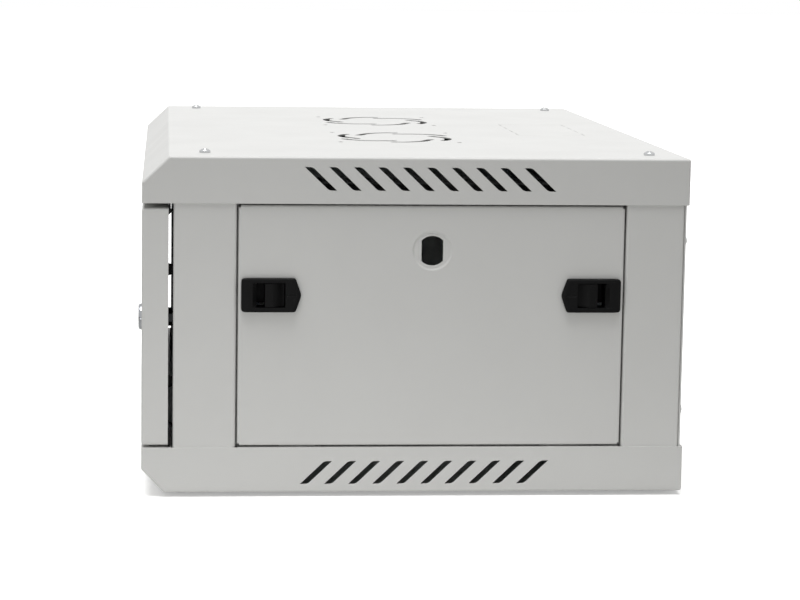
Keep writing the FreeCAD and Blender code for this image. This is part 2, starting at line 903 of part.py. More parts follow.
# Slide latches. Each is made about its own point: U runs from the panel's middle to the post,
# V is up, W points out of the panel, and (0, 0, 0) is the end next to the post on the panel's face.


def latch_body_u():
    return (-latch_body_start - latch_body_length, -latch_body_start)


def latch_window_u():
    return (-latch_window_start - latch_window_length, -latch_window_start)


def latch_depth():
    """Level of the latch body's inner end, just outside the lip's inner face."""
    return -(panel_face - lip_face + post_sheet)


def latch_housing():
    """Pointed flange with a softened edge, a body through the panel and a window with guide grooves.

    The window's edge next to the post slopes down to the gap that the thumb pad leaves when it is drawn back.
    """
    half = latch_height / 2
    corners = [
        (0, -half),
        (0, half),
        (latch_point - latch_length, half),
        (-latch_length, 0),
        (latch_point - latch_length, -half),
    ]
    radii = [latch_corner_radius] * len(corners)
    radii[3] = latch_tip_radius
    flange = rounded_face(corners, radii, plan).extrude(Vector(0, 0, latch_thickness))
    rim = [edge for edge in flange.Edges if edge.CenterOfMass.z > latch_thickness - 1e-4]
    flange = flange.makeFillet(latch_edge, rim)
    body = block(latch_body_u(), around(0, latch_body_height), (latch_depth(), latch_thickness / 2))
    snaps = []
    for sign in (-1, 1):
        edge = sign * latch_body_height / 2
        top = -panel_sheet - hole_clearance
        wedge = [(edge, top), (edge + sign * snap_height, top), (edge, top - snap_drop)]
        profile = Part.Face(Part.makePolygon([side(v, w) for v, w in wedge + wedge[:1]]))
        middle = sum(latch_body_u()) / 2
        snaps.append(across(profile, middle - snap_length / 2, middle + snap_length / 2))
    window_z = (latch_depth() - cut_margin, latch_thickness + cut_margin)
    window = block(latch_window_u(), around(0, latch_window_height), window_z)
    rib_v = latch_window_height + 2 * slide_rib_depth
    rib_w = around(-slide_rib_level, slide_rib_thickness + 2 * slide_clearance)
    groove = block(latch_window_u(), around(0, rib_v), rib_w)
    mark_u = (latch_mark_start - latch_length, latch_mark_start + latch_mark_length - latch_length)
    mark_w = (latch_thickness - latch_mark_depth, latch_thickness + cut_margin)
    mark = block(mark_u, around(0, latch_mark_width), mark_w)
    edge = latch_window_u()[1]
    slope_end = edge + latch_window_slope
    slope_low = latch_thickness - latch_window_slope
    above = latch_thickness + cut_margin
    wedge = [(edge, slope_low), (slope_end, latch_thickness), (slope_end, above),
             (edge - cut_margin, above), (edge - cut_margin, slope_low)]
    profile = Part.Face(Part.makePolygon([front(u, w) for u, w in wedge + wedge[:1]]))
    slope = through(profile, -latch_window_height / 2, latch_window_height / 2)
    return merged([flange, body] + snaps).cut([window, groove, mark, slope])


def latch_slide():
    """Hollowed thumb pad, guide ribs and the bolt that reaches behind the post's lip, drawn back."""
    low, high = latch_window_u()
    pad_u = (low + slide_clearance, high - slide_clearance - latch_travel)
    pad_v = around(0, latch_window_height - 2 * slide_clearance)
    pad_top = latch_thickness - pad_recess
    bolt_top = latch_depth() - bolt_lip_gap
    bolt_bottom = bolt_top - bolt_thickness
    stem = block(pad_u, pad_v, (bolt_top - bolt_thickness / 2, pad_top))
    rib_v = latch_window_height + 2 * slide_rib_depth - 2 * slide_clearance
    ribs = block(pad_u, around(0, rib_v), around(-slide_rib_level, slide_rib_thickness))
    lip_end = latch_from_edge + panel_gap - lip_width
    bolt_end = lip_end - bolt_end_gap
    bolt = block((pad_u[0], bolt_end), around(0, bolt_height), (bolt_bottom, bolt_top))
    end_edges = [edge for edge in bolt.Edges if abs(edge.CenterOfMass.x - bolt_end) < 1e-6]
    nose = [edge for edge in end_edges if edge.CenterOfMass.z > bolt_top - 1e-6]
    bolt = bolt.makeChamfer(bolt_thickness / 2, nose)
    half_scoop = (pad_u[1] - pad_u[0]) / 2 - pad_scoop_edge
    rise = math.sqrt(pad_scoop_radius**2 - half_scoop**2)
    start = Vector((pad_u[0] + pad_u[1]) / 2, -latch_height, pad_top + rise)
    scoop = rod(2 * pad_scoop_radius, start, Vector(0, 1, 0), 2 * latch_height)
    return merged([stem, ribs, bolt]).cut(scoop)


def latch_cutout(y, toward_post):
    """Opening in the panel for the latch's body."""
    u_low, u_high = latch_body_u()
    ends = (y + toward_post * (u_low - cutout_clearance), y + toward_post * (u_high + cutout_clearance))
    height_range = around(latch_centre_height, latch_body_height + 2 * cutout_clearance)
    return block((panel_face - 2 * panel_sheet, panel_face + cut_margin), ends, height_range)


def set_latch(shape, y, toward_post):
    """Latch shape laid on the right side panel; the front one is the rear one's mirror image."""
    copy = shape.copy()
    copy.Placement = Placement(Vector(), Rotation(Vector(0, 1, 0), Vector(0, 0, 1), Vector(1, 0, 0), "XYZ"))
    if toward_post < 0:
        copy = copy.mirror(Vector(), Vector(0, 1, 0))
    copy.translate(Vector(panel_face, y, latch_centre_height))
    return copy


# Door


def door_frame():
    """Door tray with rounded front edges, a window, back lips and holes for the lock and the hinge."""
    solid = block((-side_face, side_face), (0, door_depth), (door_low, door_high))
    tray = open_tray(solid, Vector(0, 1, 0), door_sheet, door_front_radius)
    back = (door_depth - door_sheet, door_depth)
    inner = door_sheet / 2
    lip_x = (-side_face + inner, side_face - inner)
    lip_z = (door_low + inner, door_high - inner)
    clear_x = (lip_x[0] + door_lip, lip_x[1] - door_lip)
    clear_z = (lip_z[0] + door_lip, lip_z[1] - door_lip)
    lip_frame = block(lip_x, back, lip_z).cut(block(clear_x, (0, 2 * door_depth), clear_z))
    window = rounded_rectangle(
        (-window_half_width, window_half_width), (window_low, window_high), window_corner_radius, front
    )
    cutters = [through(window, -cut_margin, 2 * door_sheet)]
    cutters.append(lock_body_bar(hole_clearance, -cut_margin, 2 * door_sheet))
    start = Vector(hinge_x, hinge_y, 0)
    cutters.append(rod(2 * bush_radius + 2 * thread_gap, start, Vector(0, 0, 1), height))
    for z in buffer_heights():
        start = Vector(buffer_x(), door_depth - 2 * door_sheet, z)
        size = buffer_stem_diameter + 2 * thread_gap
        cutters.append(rod(size, start, Vector(0, 1, 0), 4 * door_sheet))
    return merged([tray, lip_frame]).cut(cutters)


def door_glass():
    face = rounded_rectangle(
        (-window_half_width - glass_overlap, window_half_width + glass_overlap),
        (window_low - glass_overlap, window_high + glass_overlap),
        glass_corner_radius,
        front,
    )
    start = door_sheet + glass_seal_thickness
    return through(face, start, start + glass_thickness)


def glass_seal():
    """Foam frame that bonds the glass to the back of the door's sheet."""
    reach = (glass_overlap + glass_seal_width) / 2
    hold = (glass_overlap - glass_seal_width) / 2

    def ring(extra, radius):
        x_range = (-window_half_width - extra, window_half_width + extra)
        return rounded_rectangle(x_range, (window_low - extra, window_high + extra), radius, front)

    outside = through(ring(reach, glass_corner_radius), door_sheet, door_sheet + glass_seal_thickness)
    inside = through(ring(hold, window_corner_radius), 0, door_sheet + 2 * glass_seal_thickness)
    return outside.cut(inside)


def buffer_heights():
    return around(door_middle, buffer_spacing)


def buffer_x():
    return side_face - buffer_inset


def door_buffers():
    """Rubber buffers pressed into the door's back lip, which meet the front post."""
    thickness = post_front - door_depth - buffer_gap
    base = buffer_diameter / 2
    stem = buffer_stem_diameter / 2
    shape = turned([(0, -buffer_stem_length), (stem, -buffer_stem_length), (stem, 0), (base, 0),
                    (base * buffer_tip_share, thickness), (0, thickness)])
    return [placed(shape, Vector(buffer_x(), door_depth, z), Vector(0, 1, 0)) for z in buffer_heights()]


def corner_stops():
    """Stops on the back of the door next to the lock: a thin plate with a wedge at its inner end."""
    x_range = (side_face - door_lip, side_face - panel_sheet)
    plate = door_depth + stop_plate
    tip = post_front - buffer_gap
    upper = (top_skirt_edge - stop_gap, stop_upper_end, 1)
    lower = (bottom_skirt + stop_gap, stop_lower_end, -1)
    stops = []
    for outer, inner, away in (upper, lower):
        shape = [
            (door_depth, outer),
            (plate, outer),
            (plate, inner + away * stop_wedge),
            (tip, inner + away * stop_wedge),
            (door_depth, inner),
        ]
        face = Part.Face(Part.makePolygon([side(y, z) for y, z in shape + shape[:1]]))
        stops.append(across(face, x_range[0], x_range[1]))
    return stops


def hinge_plates():
    """Plates inside the door's corners that stiffen the sheet round the bushes."""
    x_start = -side_face + door_front_radius
    x_range = (x_start, x_start + hinge_plate_length)
    y_range = (door_front_radius, door_depth - door_sheet)
    hole = rod(2 * bush_radius + 2 * thread_gap, Vector(hinge_x, hinge_y, 0), Vector(0, 0, 1), height)
    plates = []
    for edge, away in ((door_high - door_sheet, -1), (door_low + door_sheet, 1)):
        plate = block(x_range, y_range, (edge, edge + away * hinge_plate_thickness))
        plates.append(plate.cut(hole))
    return plates


def hinge_bushes():
    """Flanged bushes: the lower one carries the door on the bottom cover's ledge."""
    bore = hinge_pin_diameter / 2 + hinge_running_gap
    flange = door_gap_bottom - bush_seat_gap
    shape = turned([(bore, 0), (bush_flange_diameter / 2, 0), (bush_flange_diameter / 2, flange),
                    (bush_radius, flange), (bush_radius, flange + bush_length), (bore, flange + bush_length)])
    lower = placed(shape, Vector(hinge_x, hinge_y, door_low - flange), Vector(0, 0, 1))
    upper = placed(shape, Vector(hinge_x, hinge_y, door_high + flange), Vector(0, 0, -1))
    return [lower, upper]


def hinge_pins():
    """Headed pins that pass through the ledges of the covers into the door's bushes."""
    pins = []
    lower = (bottom_skirt - cover_sheet, door_low, 1)
    upper = (top_skirt_edge + cover_sheet, door_high, -1)
    for ledge, door_edge, away in (lower, upper):
        length = abs(door_edge - ledge) + hinge_pin_reach
        head = hinge_head_diameter / 2
        pin = turned([(0, -hinge_head_thickness), (head, -hinge_head_thickness), (head, 0),
                      (hinge_pin_diameter / 2, 0), (hinge_pin_diameter / 2, length), (0, length)])
        pins.append(placed(pin, Vector(hinge_x, hinge_y, ledge), Vector(0, 0, away)))
    return pins


# Cam lock of the door


def lock_rod(diameter, start, end):
    """Round bar along the lock's axis."""
    return rod(diameter, Vector(lock_x, start, lock_z), Vector(0, 1, 0), end - start)


def lock_body_bar(gap, start, end):
    """Bar of the lock body's section, round with two upright flats, widened by a gap all round."""
    size = lock_body_diameter + 2 * gap
    band = block(around(lock_x, lock_body_flats + 2 * gap), (start, end), around(lock_z, size))
    return lock_rod(size, start, end).common(band)


def lock_housing():
    """Lock body with a bevelled face in front of the door and a bore for the plug."""
    face = lock_rod(lock_face_diameter, -lock_proud, 0)
    rim = [edge for edge in face.Edges if abs(edge.CenterOfMass.y + lock_proud) < 1e-4]
    face = face.makeChamfer(lock_face_bevel, rim)
    bore = lock_rod(lock_plug_diameter + 2 * lock_plug_gap, -2 * lock_proud, 2 * lock_body_length)
    return merged([face, lock_body_bar(0, 0, lock_body_length)]).cut(bore)


def lock_plug():
    """Turning plug with a key slot in front and a square end for the cam."""
    start = -lock_proud + lock_plug_recess
    shoulder = cam_front - hole_clearance
    barrel = lock_rod(lock_plug_diameter, start, shoulder)
    square_y = (shoulder - cut_margin, cam_back + hole_clearance)
    square = block(around(lock_x, lock_square), square_y, around(lock_z, lock_square))
    slot_y = (start - cut_margin, start + key_slot_depth)
    slot = block(around(lock_x, key_slot_width), slot_y, around(lock_z, key_slot_length))
    size = cam_screw_shank + 2 * thread_gap
    tapping = lock_rod(size, cam_back + hole_clearance - cam_screw_length, cam_back + cut_margin)
    return merged([barrel, square]).cut([slot, tapping])


def lock_cam():
    """Cam that stands up in the post's notch when open and turns behind its flange when locked."""
    half = cam_width / 2
    low, high = lock_z - half, lock_z + cam_reach
    corners = [(lock_x - half, low), (lock_x + half, low), (lock_x + half, high), (lock_x - half, high)]
    radii = [cam_root_radius, cam_root_radius, cam_tip_radius, cam_tip_radius]
    plate = through(rounded_face(corners, radii, front), cam_front, cam_back)
    size = lock_square + 2 * lock_square_gap
    hole_y = (cam_front - cut_margin, cam_back + cut_margin)
    return plate.cut(block(around(lock_x, size), hole_y, around(lock_z, size)))


def cam_screw():
    screw = pan_screw(cam_screw_head, cam_screw_head_height, cam_screw_shank, cam_screw_length)
    return placed(screw, Vector(lock_x, cam_back + hole_clearance, lock_z), Vector(0, 1, 0))


def lock_nut():
    """Hexagonal nut on the lock's body, tight against the back of the door's sheet."""
    nut = hexagon(lock_nut_across, lock_nut_thickness, lock_body_flats / 2)
    nut = placed(nut, Vector(lock_x, door_sheet, lock_z), Vector(0, 1, 0))
    return nut.cut(lock_body_bar(thread_gap, 0, 2 * lock_nut_thickness))


def cover_screws(level, up):
    screw = pan_screw(cover_screw_head, cover_screw_head_height, cover_screw_shank, cover_screw_length)
    return [placed(screw, Vector(x, y, level), Vector(0, 0, up)) for x, y in cover_screw_places()]


def rear_screws():
    screw = pan_screw(rear_screw_head, rear_screw_head_height, rear_screw_shank, rear_screw_length)
    places = [(x, z) for x in (-rear_screw_x, rear_screw_x) for z in rear_screw_heights]
    return [placed(screw, Vector(x, rear_face, z), Vector(0, 1, 0)) for x, z in places]


def save(name, shapes):
    """Write one node, a single solid or a group of separate ones, in the model's frame."""
    shapes = shapes if isinstance(shapes, list) else [shapes]
    solids = [solid for shape in shapes for solid in shape.Solids]
    node = solids[0] if len(solids) == 1 else Part.makeCompound(solids)
    node = node.copy()
    node.translate(-origin)
    node.exportStep("parts/" + name + ".step")
    print(f"{name}: {len(solids)} solid(s), {node.Volume / 1000:.1f} cm3, valid {node.isValid()}")


def main():
    os.makedirs("parts", exist_ok=True)
    save("top_cover", top_cover())
    save("bottom_cover", bottom_cover())
    save("rear_panel", rear_panel())
    sided = {
        "front_post": front_post(),
        "rear_post": rear_post(),
        "lower_depth_rail": depth_rail(depth_rail_low),
        "upper_depth_rail": depth_rail(depth_rail_high),
        "front_rack_rail": front_rack_rail(),
        "rear_rack_rail": rear_rack_rail(),
    }
    housing, slide = latch_housing(), latch_slide()
    for name, y, toward_post in latch_places():
        sided[name + "_latch_housing"] = set_latch(housing, y, toward_post)
        sided[name + "_latch_slide"] = set_latch(slide, y, toward_post)
    for name, shape in sided.items():
        save(name + "_right", shape)
        save(name + "_left", mirrored(shape))
    save("side_panel_right", side_panel(punched=True))
    save("side_panel_left", mirrored(side_panel(punched=False)))
    save("door_frame", door_frame())
    save("door_glass", door_glass())
    save("glass_seal", glass_seal())
    save("door_buffers", door_buffers())
    save("door_corner_stops", corner_stops())
    save("hinge_plates", hinge_plates())
    save("hinge_bushes", hinge_bushes())
    save("hinge_pins", hinge_pins())
    save("lock_housing", lock_housing())
    save("lock_nut", lock_nut())
    save("lock_plug", lock_plug())
    save("lock_cam", lock_cam())
    save("lock_cam_screw", cam_screw())
    save("top_cover_screws", cover_screws(height, 1))
    save("bottom_cover_screws", cover_screws(0, -1))
    save("rear_panel_screws", rear_screws())
    save("rail_screws", rail_screws())
    save("rail_nuts", rail_nuts())


main()
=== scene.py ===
import json
import math

import bpy
import numpy as np
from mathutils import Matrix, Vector


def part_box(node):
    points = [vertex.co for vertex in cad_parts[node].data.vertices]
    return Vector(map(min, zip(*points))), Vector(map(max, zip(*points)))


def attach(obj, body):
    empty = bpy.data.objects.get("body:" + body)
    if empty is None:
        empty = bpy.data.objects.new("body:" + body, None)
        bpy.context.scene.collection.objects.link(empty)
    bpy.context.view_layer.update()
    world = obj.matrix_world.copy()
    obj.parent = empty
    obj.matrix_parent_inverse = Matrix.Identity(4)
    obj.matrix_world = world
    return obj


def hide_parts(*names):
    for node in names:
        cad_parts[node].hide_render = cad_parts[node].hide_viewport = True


# Looks of a four-unit wall cabinet for 19-inch equipment, in metres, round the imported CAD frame.

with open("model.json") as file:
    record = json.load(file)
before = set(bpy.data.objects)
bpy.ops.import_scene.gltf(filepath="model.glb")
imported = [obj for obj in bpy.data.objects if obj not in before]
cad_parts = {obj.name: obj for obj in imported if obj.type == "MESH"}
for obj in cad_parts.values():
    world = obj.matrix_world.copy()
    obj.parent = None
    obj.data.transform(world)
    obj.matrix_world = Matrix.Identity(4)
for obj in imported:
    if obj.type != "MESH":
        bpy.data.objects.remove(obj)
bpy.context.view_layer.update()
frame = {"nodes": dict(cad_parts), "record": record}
millimetre = 0.001
print("frame loaded,", len(frame["nodes"]), "nodes")


# Camera: far out to the right of the cabinet, near its front and above the top

camera = {
    "place": (2.1373, -0.2053, 0.4476),
    "turnDegrees": (83.265, -0.688, 86.145),
    "lens": 102.44,  # on a sensor 36 mm wide
    "shift": (0.1, -0.1),
}


def setCamera(settings):
    # the camera stands at its place, turned by its three angles, and becomes the scene's own
    data = bpy.data.cameras.new("photoCamera")
    data.lens = settings["lens"]
    data.shift_x, data.shift_y = settings["shift"]
    camObject = bpy.data.objects.new("photoCamera", data)
    camObject.location = settings["place"]
    camObject.rotation_euler = [math.radians(angle) for angle in settings["turnDegrees"]]
    bpy.context.scene.collection.objects.link(camObject)
    bpy.context.scene.camera = camObject


setCamera(camera)
print("camera set")


# Node trees

def linear(hexColour):
    # sRGB hex digits to linear light: the standard curve with its straight foot, and alpha 1
    srgb = np.array([int(hexColour[start:start + 2], 16) / 255 for start in (1, 3, 5)])
    value = np.where(srgb <= 0.04045, srgb / 12.92, ((srgb + 0.055) / 1.055) ** 2.4)
    return (*value.tolist(), 1.0)


def addNode(tree, kind, settings=None, links=None):
    # one node: a setting fills the socket of that name or number, or else the node's own property
    node = tree.nodes.new(kind)
    for key, value in (settings or {}).items():
        if isinstance(key, int) or key in node.inputs:
            node.inputs[key].default_value = value
        else:
            setattr(node, key, value)
    for key, socket in (links or {}).items():
        tree.links.new(socket, node.inputs[key])
    return node


def newMaterial(name):
    # an empty material with the place on the piece that its patterns read
    material = bpy.data.materials.new(name)
    material.use_nodes = True
    material.node_tree.nodes.clear()
    place = addNode(material.node_tree, "ShaderNodeTexCoord").outputs["Object"]
    return material, material.node_tree, place


def closeMaterial(tree, shader):
    # the shader goes to the material's output
    addNode(tree, "ShaderNodeOutputMaterial", None, {"Surface": shader.outputs[0]})


def patternPer(millimetres):
    # noise and cell textures repeat about once in a length, here a real one in millimetres
    return 1000 / millimetres


noiseRange = {"From Min": 0.3, "From Max": 0.7}  # where most of a noise texture's values lie
edgeSamples = 4


# Sheet steel with a sprayed and baked polyester powder coat: even, satin, with a fine orange
# peel. The coat rounds the sheet's edges a little, and the sheet itself is never quite flat.

powderCoatLook = {
    "colour": "#D4D4D2",
    "deeper": "#CFCFCD",
    "ior": 1.5,
    "toneMm": 70.0,
    "toneDetail": 3.0,
    "grainMm": 1.4,  # real peel is about 0.5 mm, drawn coarser so that it shows
    "grainDetail": 2.0,
    "grainDepthMm": 0.012,
    "waveMm": 130.0,
    "waveDetail": 0.5,
    "waveDepthMm": 0.25,
    "smoothest": 0.42,
    "roughest": 0.52,
    "edgeMm": 0.45,
}


def powderCoat(name, changes=None):
    # a slow tone shifts colour and gloss; the normal is the rounded edge, then wave, then peel
    look = {**powderCoatLook, **(changes or {})}
    material, tree, place = newMaterial(name)
    tone = addNode(tree, "ShaderNodeTexNoise",
                   {"Scale": patternPer(look["toneMm"]), "Detail": look["toneDetail"]},
                   {"Vector": place})
    grain = addNode(tree, "ShaderNodeTexNoise",
                    {"Scale": patternPer(look["grainMm"]), "Detail": look["grainDetail"]},
                    {"Vector": place})
    wave = addNode(tree, "ShaderNodeTexNoise",
                   {"Scale": patternPer(look["waveMm"]), "Detail": look["waveDetail"]},
                   {"Vector": place})
    colour = addNode(tree, "ShaderNodeMix",
                     {"data_type": "RGBA", 6: linear(look["colour"]), 7: linear(look["deeper"])},
                     {0: tone.outputs["Fac"]})
    rough = addNode(tree, "ShaderNodeMapRange",
                    {**noiseRange, "To Min": look["smoothest"], "To Max": look["roughest"]},
                    {"Value": tone.outputs["Fac"]})
    edge = addNode(tree, "ShaderNodeBevel",
                   {"samples": edgeSamples, "Radius": look["edgeMm"] * millimetre})
    waviness = addNode(tree, "ShaderNodeBump", {"Distance": look["waveDepthMm"] * millimetre},
                       {"Height": wave.outputs["Fac"], "Normal": edge.outputs["Normal"]})
    peel = addNode(tree, "ShaderNodeBump", {"Distance": look["grainDepthMm"] * millimetre},
                   {"Height": grain.outputs["Fac"], "Normal": waviness.outputs["Normal"]})
    shader = addNode(tree, "ShaderNodeBsdfPrincipled", {"IOR": look["ior"]},
                     {"Base Color": colour.outputs[2], "Roughness": rough.outputs["Result"],
                      "Normal": peel.outputs["Normal"]})
    closeMaterial(tree, shader)
    return material


# Hot-dip galvanised steel strip: large flat zinc crystals that each reflect a little differently.

galvanisedLook = {
    "light": "#C4C8CC",
    "dark": "#A9AEB4",
    "crystalMm": 7.0,
    "rollMm": 1.1,
    "rollDetail": 4.0,
    "rollDepthMm": 0.006,
    "smoothest": 0.28,
    "roughest": 0.46,
    "edgeMm": 0.3,
}


def galvanisedSteel(name, look):
    # each crystal has its own tone and gloss, under the fine marks of the rolls
    material, tree, place = newMaterial(name)
    crystals = addNode(tree, "ShaderNodeTexVoronoi", {"Scale": patternPer(look["crystalMm"])},
                       {"Vector": place})
    shade = addNode(tree, "ShaderNodeSeparateColor", None, {"Color": crystals.outputs["Color"]})
    rolled = addNode(tree, "ShaderNodeTexNoise",
                     {"Scale": patternPer(look["rollMm"]), "Detail": look["rollDetail"]},
                     {"Vector": place})
    colour = addNode(tree, "ShaderNodeMix",
                     {"data_type": "RGBA", 6: linear(look["dark"]), 7: linear(look["light"])},
                     {0: shade.outputs[0]})
    rough = addNode(tree, "ShaderNodeMapRange",
                    {"To Min": look["smoothest"], "To Max": look["roughest"]},
                    {"Value": shade.outputs[1]})
    edge = addNode(tree, "ShaderNodeBevel",
                   {"samples": edgeSamples, "Radius": look["edgeMm"] * millimetre})
    bump = addNode(tree, "ShaderNodeBump", {"Distance": look["rollDepthMm"] * millimetre},
                   {"Height": rolled.outputs["Fac"], "Normal": edge.outputs["Normal"]})
    shader = addNode(tree, "ShaderNodeBsdfPrincipled", {"Metallic": 1.0},
                     {"Base Color": colour.outputs[2], "Roughness": rough.outputs["Result"],
                      "Normal": bump.outputs["Normal"]})
    closeMaterial(tree, shader)
    return material


# Turned or pressed small metal parts: fine marks of the tool, a plated coat that is bright
# or dull, and on a long body a painted shade that darkens its far end, which lies in shadow.

platedLook = {
    "colour": "#C9CCD0",
    "worn": "#A8A9A6",
    "markMm": 0.6,
    "markDetail": 4.0,
    "markRoughness": 0.65,
    "markDepthMm": 0.008,
    "smoothest": 0.2,
    "roughest": 0.38,
    # painted shade: the near-black colour, and the Y from which it darkens a part that lies in
    # shadow
    "paintedShadeColour": "#1E1F20",
    "paintedShadeFrom": None,  # Y in metres behind which painted shade darkens the metal
    "paintedShadeOver": 0.0015,
}


def platedMetal(name, changes=None):
    # the marks shift colour, gloss and height; behind the given Y the colour fades to a near-black
    # painted shade
    look = {**platedLook, **(changes or {})}
    material, tree, place = newMaterial(name)
    marks = addNode(tree, "ShaderNodeTexNoise",
                    {"Scale": patternPer(look["markMm"]), "Detail": look["markDetail"],
                     "Roughness": look["markRoughness"]}, {"Vector": place})
    colour = addNode(tree, "ShaderNodeMix",
                     {"data_type": "RGBA", 6: linear(look["colour"]), 7: linear(look["worn"])},
                     {0: marks.outputs["Fac"]})
    if look["paintedShadeFrom"] is not None:
        # painted shade: the colour fades to near-black behind the given Y, where the part lies in
        # shadow
        spot = addNode(tree, "ShaderNodeSeparateXYZ", None, {"Vector": place})
        paintedShadeEnd = look["paintedShadeFrom"] + look["paintedShadeOver"]
        paintedShadeRamp = addNode(tree, "ShaderNodeMapRange",
                       {"From Min": look["paintedShadeFrom"], "From Max": paintedShadeEnd},
                       {"Value": spot.outputs["Y"]})
        colour = addNode(tree, "ShaderNodeMix",
                         {"data_type": "RGBA", 7: linear(look["paintedShadeColour"])},
                         {0: paintedShadeRamp.outputs["Result"], 6: colour.outputs[2]})
    rough = addNode(tree, "ShaderNodeMapRange",
                    {**noiseRange, "To Min": look["smoothest"], "To Max": look["roughest"]},
                    {"Value": marks.outputs["Fac"]})
    bump = addNode(tree, "ShaderNodeBump", {"Distance": look["markDepthMm"] * millimetre},
                   {"Height": marks.outputs["Fac"]})
    shader = addNode(tree, "ShaderNodeBsdfPrincipled", {"Metallic": 1.0},
                     {"Base Color": colour.outputs[2], "Roughness": rough.outputs["Result"],
                      "Normal": bump.outputs["Normal"]})
    closeMaterial(tree, shader)
    return material


# Moulded polymers and rubber: the spark-eroded grain of the mould breaks up the shine.

mouldedLook = {
    "colour": "#0C0C0D",
    "faded": "#111111",
    "ior": 1.5,
    "toneMm": 12.0,
    "toneDetail": 3.0,
    "grainMm": 0.5,
    "grainDetail": 2.0,
    "grainDepthMm": 0.02,
    "smoothest": 0.4,
    "roughest": 0.55,
    "specular": 0.1,
    "subsurface": 0.0,
    "edgeMm": 0.25,
}


def mouldedPolymer(name, changes=None):
    # a slow tone shifts colour and gloss; the normal is the rounded edge, then the mould's grain
    look = {**mouldedLook, **(changes or {})}
    material, tree, place = newMaterial(name)
    tone = addNode(tree, "ShaderNodeTexNoise",
                   {"Scale": patternPer(look["toneMm"]), "Detail": look["toneDetail"]},
                   {"Vector": place})
    grain = addNode(tree, "ShaderNodeTexNoise",
                    {"Scale": patternPer(look["grainMm"]), "Detail": look["grainDetail"]},
                    {"Vector": place})
    colour = addNode(tree, "ShaderNodeMix",
                     {"data_type": "RGBA", 6: linear(look["colour"]), 7: linear(look["faded"])},
                     {0: tone.outputs["Fac"]})
    rough = addNode(tree, "ShaderNodeMapRange",
                    {**noiseRange, "To Min": look["smoothest"], "To Max": look["roughest"]},
                    {"Value": tone.outputs["Fac"]})
    edge = addNode(tree, "ShaderNodeBevel",
                   {"samples": edgeSamples, "Radius": look["edgeMm"] * millimetre})
    bump = addNode(tree, "ShaderNodeBump", {"Distance": look["grainDepthMm"] * millimetre},
                   {"Height": grain.outputs["Fac"], "Normal": edge.outputs["Normal"]})
    shader = addNode(tree, "ShaderNodeBsdfPrincipled",
                     {"IOR": look["ior"], "Specular IOR Level": look["specular"],
                      "Subsurface Weight": look["subsurface"], "Subsurface Scale": millimetre},
                     {"Base Color": colour.outputs[2], "Roughness": rough.outputs["Result"],
                      "Normal": bump.outputs["Normal"]})
    closeMaterial(tree, shader)
    return material


# Float glass, toughened and lightly grey: clear with a dark tint, and a slow roller wave in its
# reflections.

glassLook = {
    "tint": "#687173",
    "ior": 1.52,
    "waveMm": 90.0,
    "waveDepthMm": 0.03,
}


def floatGlass(name, look):
    # clear and smooth all over, with the wave in its normal
    material, tree, place = newMaterial(name)
    wave = addNode(tree, "ShaderNodeTexNoise",
                   {"Scale": patternPer(look["waveMm"]), "Detail": 0.0}, {"Vector": place})
    bump = addNode(tree, "ShaderNodeBump", {"Distance": look["waveDepthMm"] * millimetre},
                   {"Height": wave.outputs["Fac"]})
    shader = addNode(tree, "ShaderNodeBsdfPrincipled",
                     {"Base Color": linear(look["tint"]), "Roughness": 0.0, "IOR": look["ior"],
                      "Transmission Weight": 1.0}, {"Normal": bump.outputs["Normal"]})
    closeMaterial(tree, shader)
    return material


# One finish for each material slot of the record, and what some of them change in the looks above

railCoatWithPaintedShade = {"colour": "#727372", "deeper": "#6A6B6A"}  # the same powder in a darker grey, darkened also as painted shade for the cabinet's inside seen through the vents
slidePolymer = {"colour": "#0B0B0C", "faded": "#0F0F0F"}  # moulded like the latches, a shade deeper

# closed-cell foam tape, cut from the roll: matt and pitted by its cells
sealFoam = {"colour": "#141414", "faded": "#1E1E1D", "grainMm": 0.9, "grainDepthMm": 0.15,
            "smoothest": 0.85, "roughest": 0.95}

# nitrile rubber from a blasted mould: a dull black almost without highlights
bufferRubber = {"colour": "#0C0C0C", "faded": "#141414", "smoothest": 0.6, "roughest": 0.8}

# moulded undyed nylon: creamy and a little glossy, with some light inside it
bushNylon = {"colour": "#DAD6C8", "faded": "#D2CDBD", "specular": 0.5, "subsurface": 0.2}

# die-cast zinc, polished and chromed: close to a mirror up to just behind the door's front, and
# painted near-black behind it as painted shade, where the body lies in the door gap's shadow
lockChromeWithPaintedShade = {"colour": "#A9ABAE", "worn": "#9B9DA0", "markDepthMm": 0.002,
              "smoothest": 0.06, "roughest": 0.14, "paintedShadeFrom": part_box("door_frame")[0][1]}

# steel plated with zinc, passivated black on the pressings and left bright on the screws
blackZinc = {"colour": "#242526", "worn": "#1B1C1D"}
screwZinc = {"colour": "#D3D5D8", "smoothest": 0.16, "roughest": 0.3}

finishes = {
    "cover_powder": powderCoat("powderCoatedCovers"),
    "post_powder": powderCoat("powderCoatedPosts"),
    "panel_powder": powderCoat("powderCoatedPanels"),
    "door_powder": powderCoat("powderCoatedDoor"),
    "rail_powder": powderCoat("greyRailPowderWithPaintedShade", railCoatWithPaintedShade),
    "rail_zinc": galvanisedSteel("galvanisedRackRails", galvanisedLook),
    "latch_plastic": mouldedPolymer("mouldedPolyamideLatches"),
    "slide_plastic": mouldedPolymer("mouldedPolyamideSlides", slidePolymer),
    "glass": floatGlass("toughenedFloatGlass", glassLook),
    "foam": mouldedPolymer("closedCellFoamTape", sealFoam),
    "rubber": mouldedPolymer("mouldedNitrileRubber", bufferRubber),
    "nylon": mouldedPolymer("mouldedNaturalNylon", bushNylon),
    "chrome": platedMetal("polishedChromeLockWithPaintedShade", lockChromeWithPaintedShade),
    "zinc": platedMetal("blackZincPlatedPressings", blackZinc),
    "screw_zinc": platedMetal("brightZincPlatedScrews", screwZinc),
}
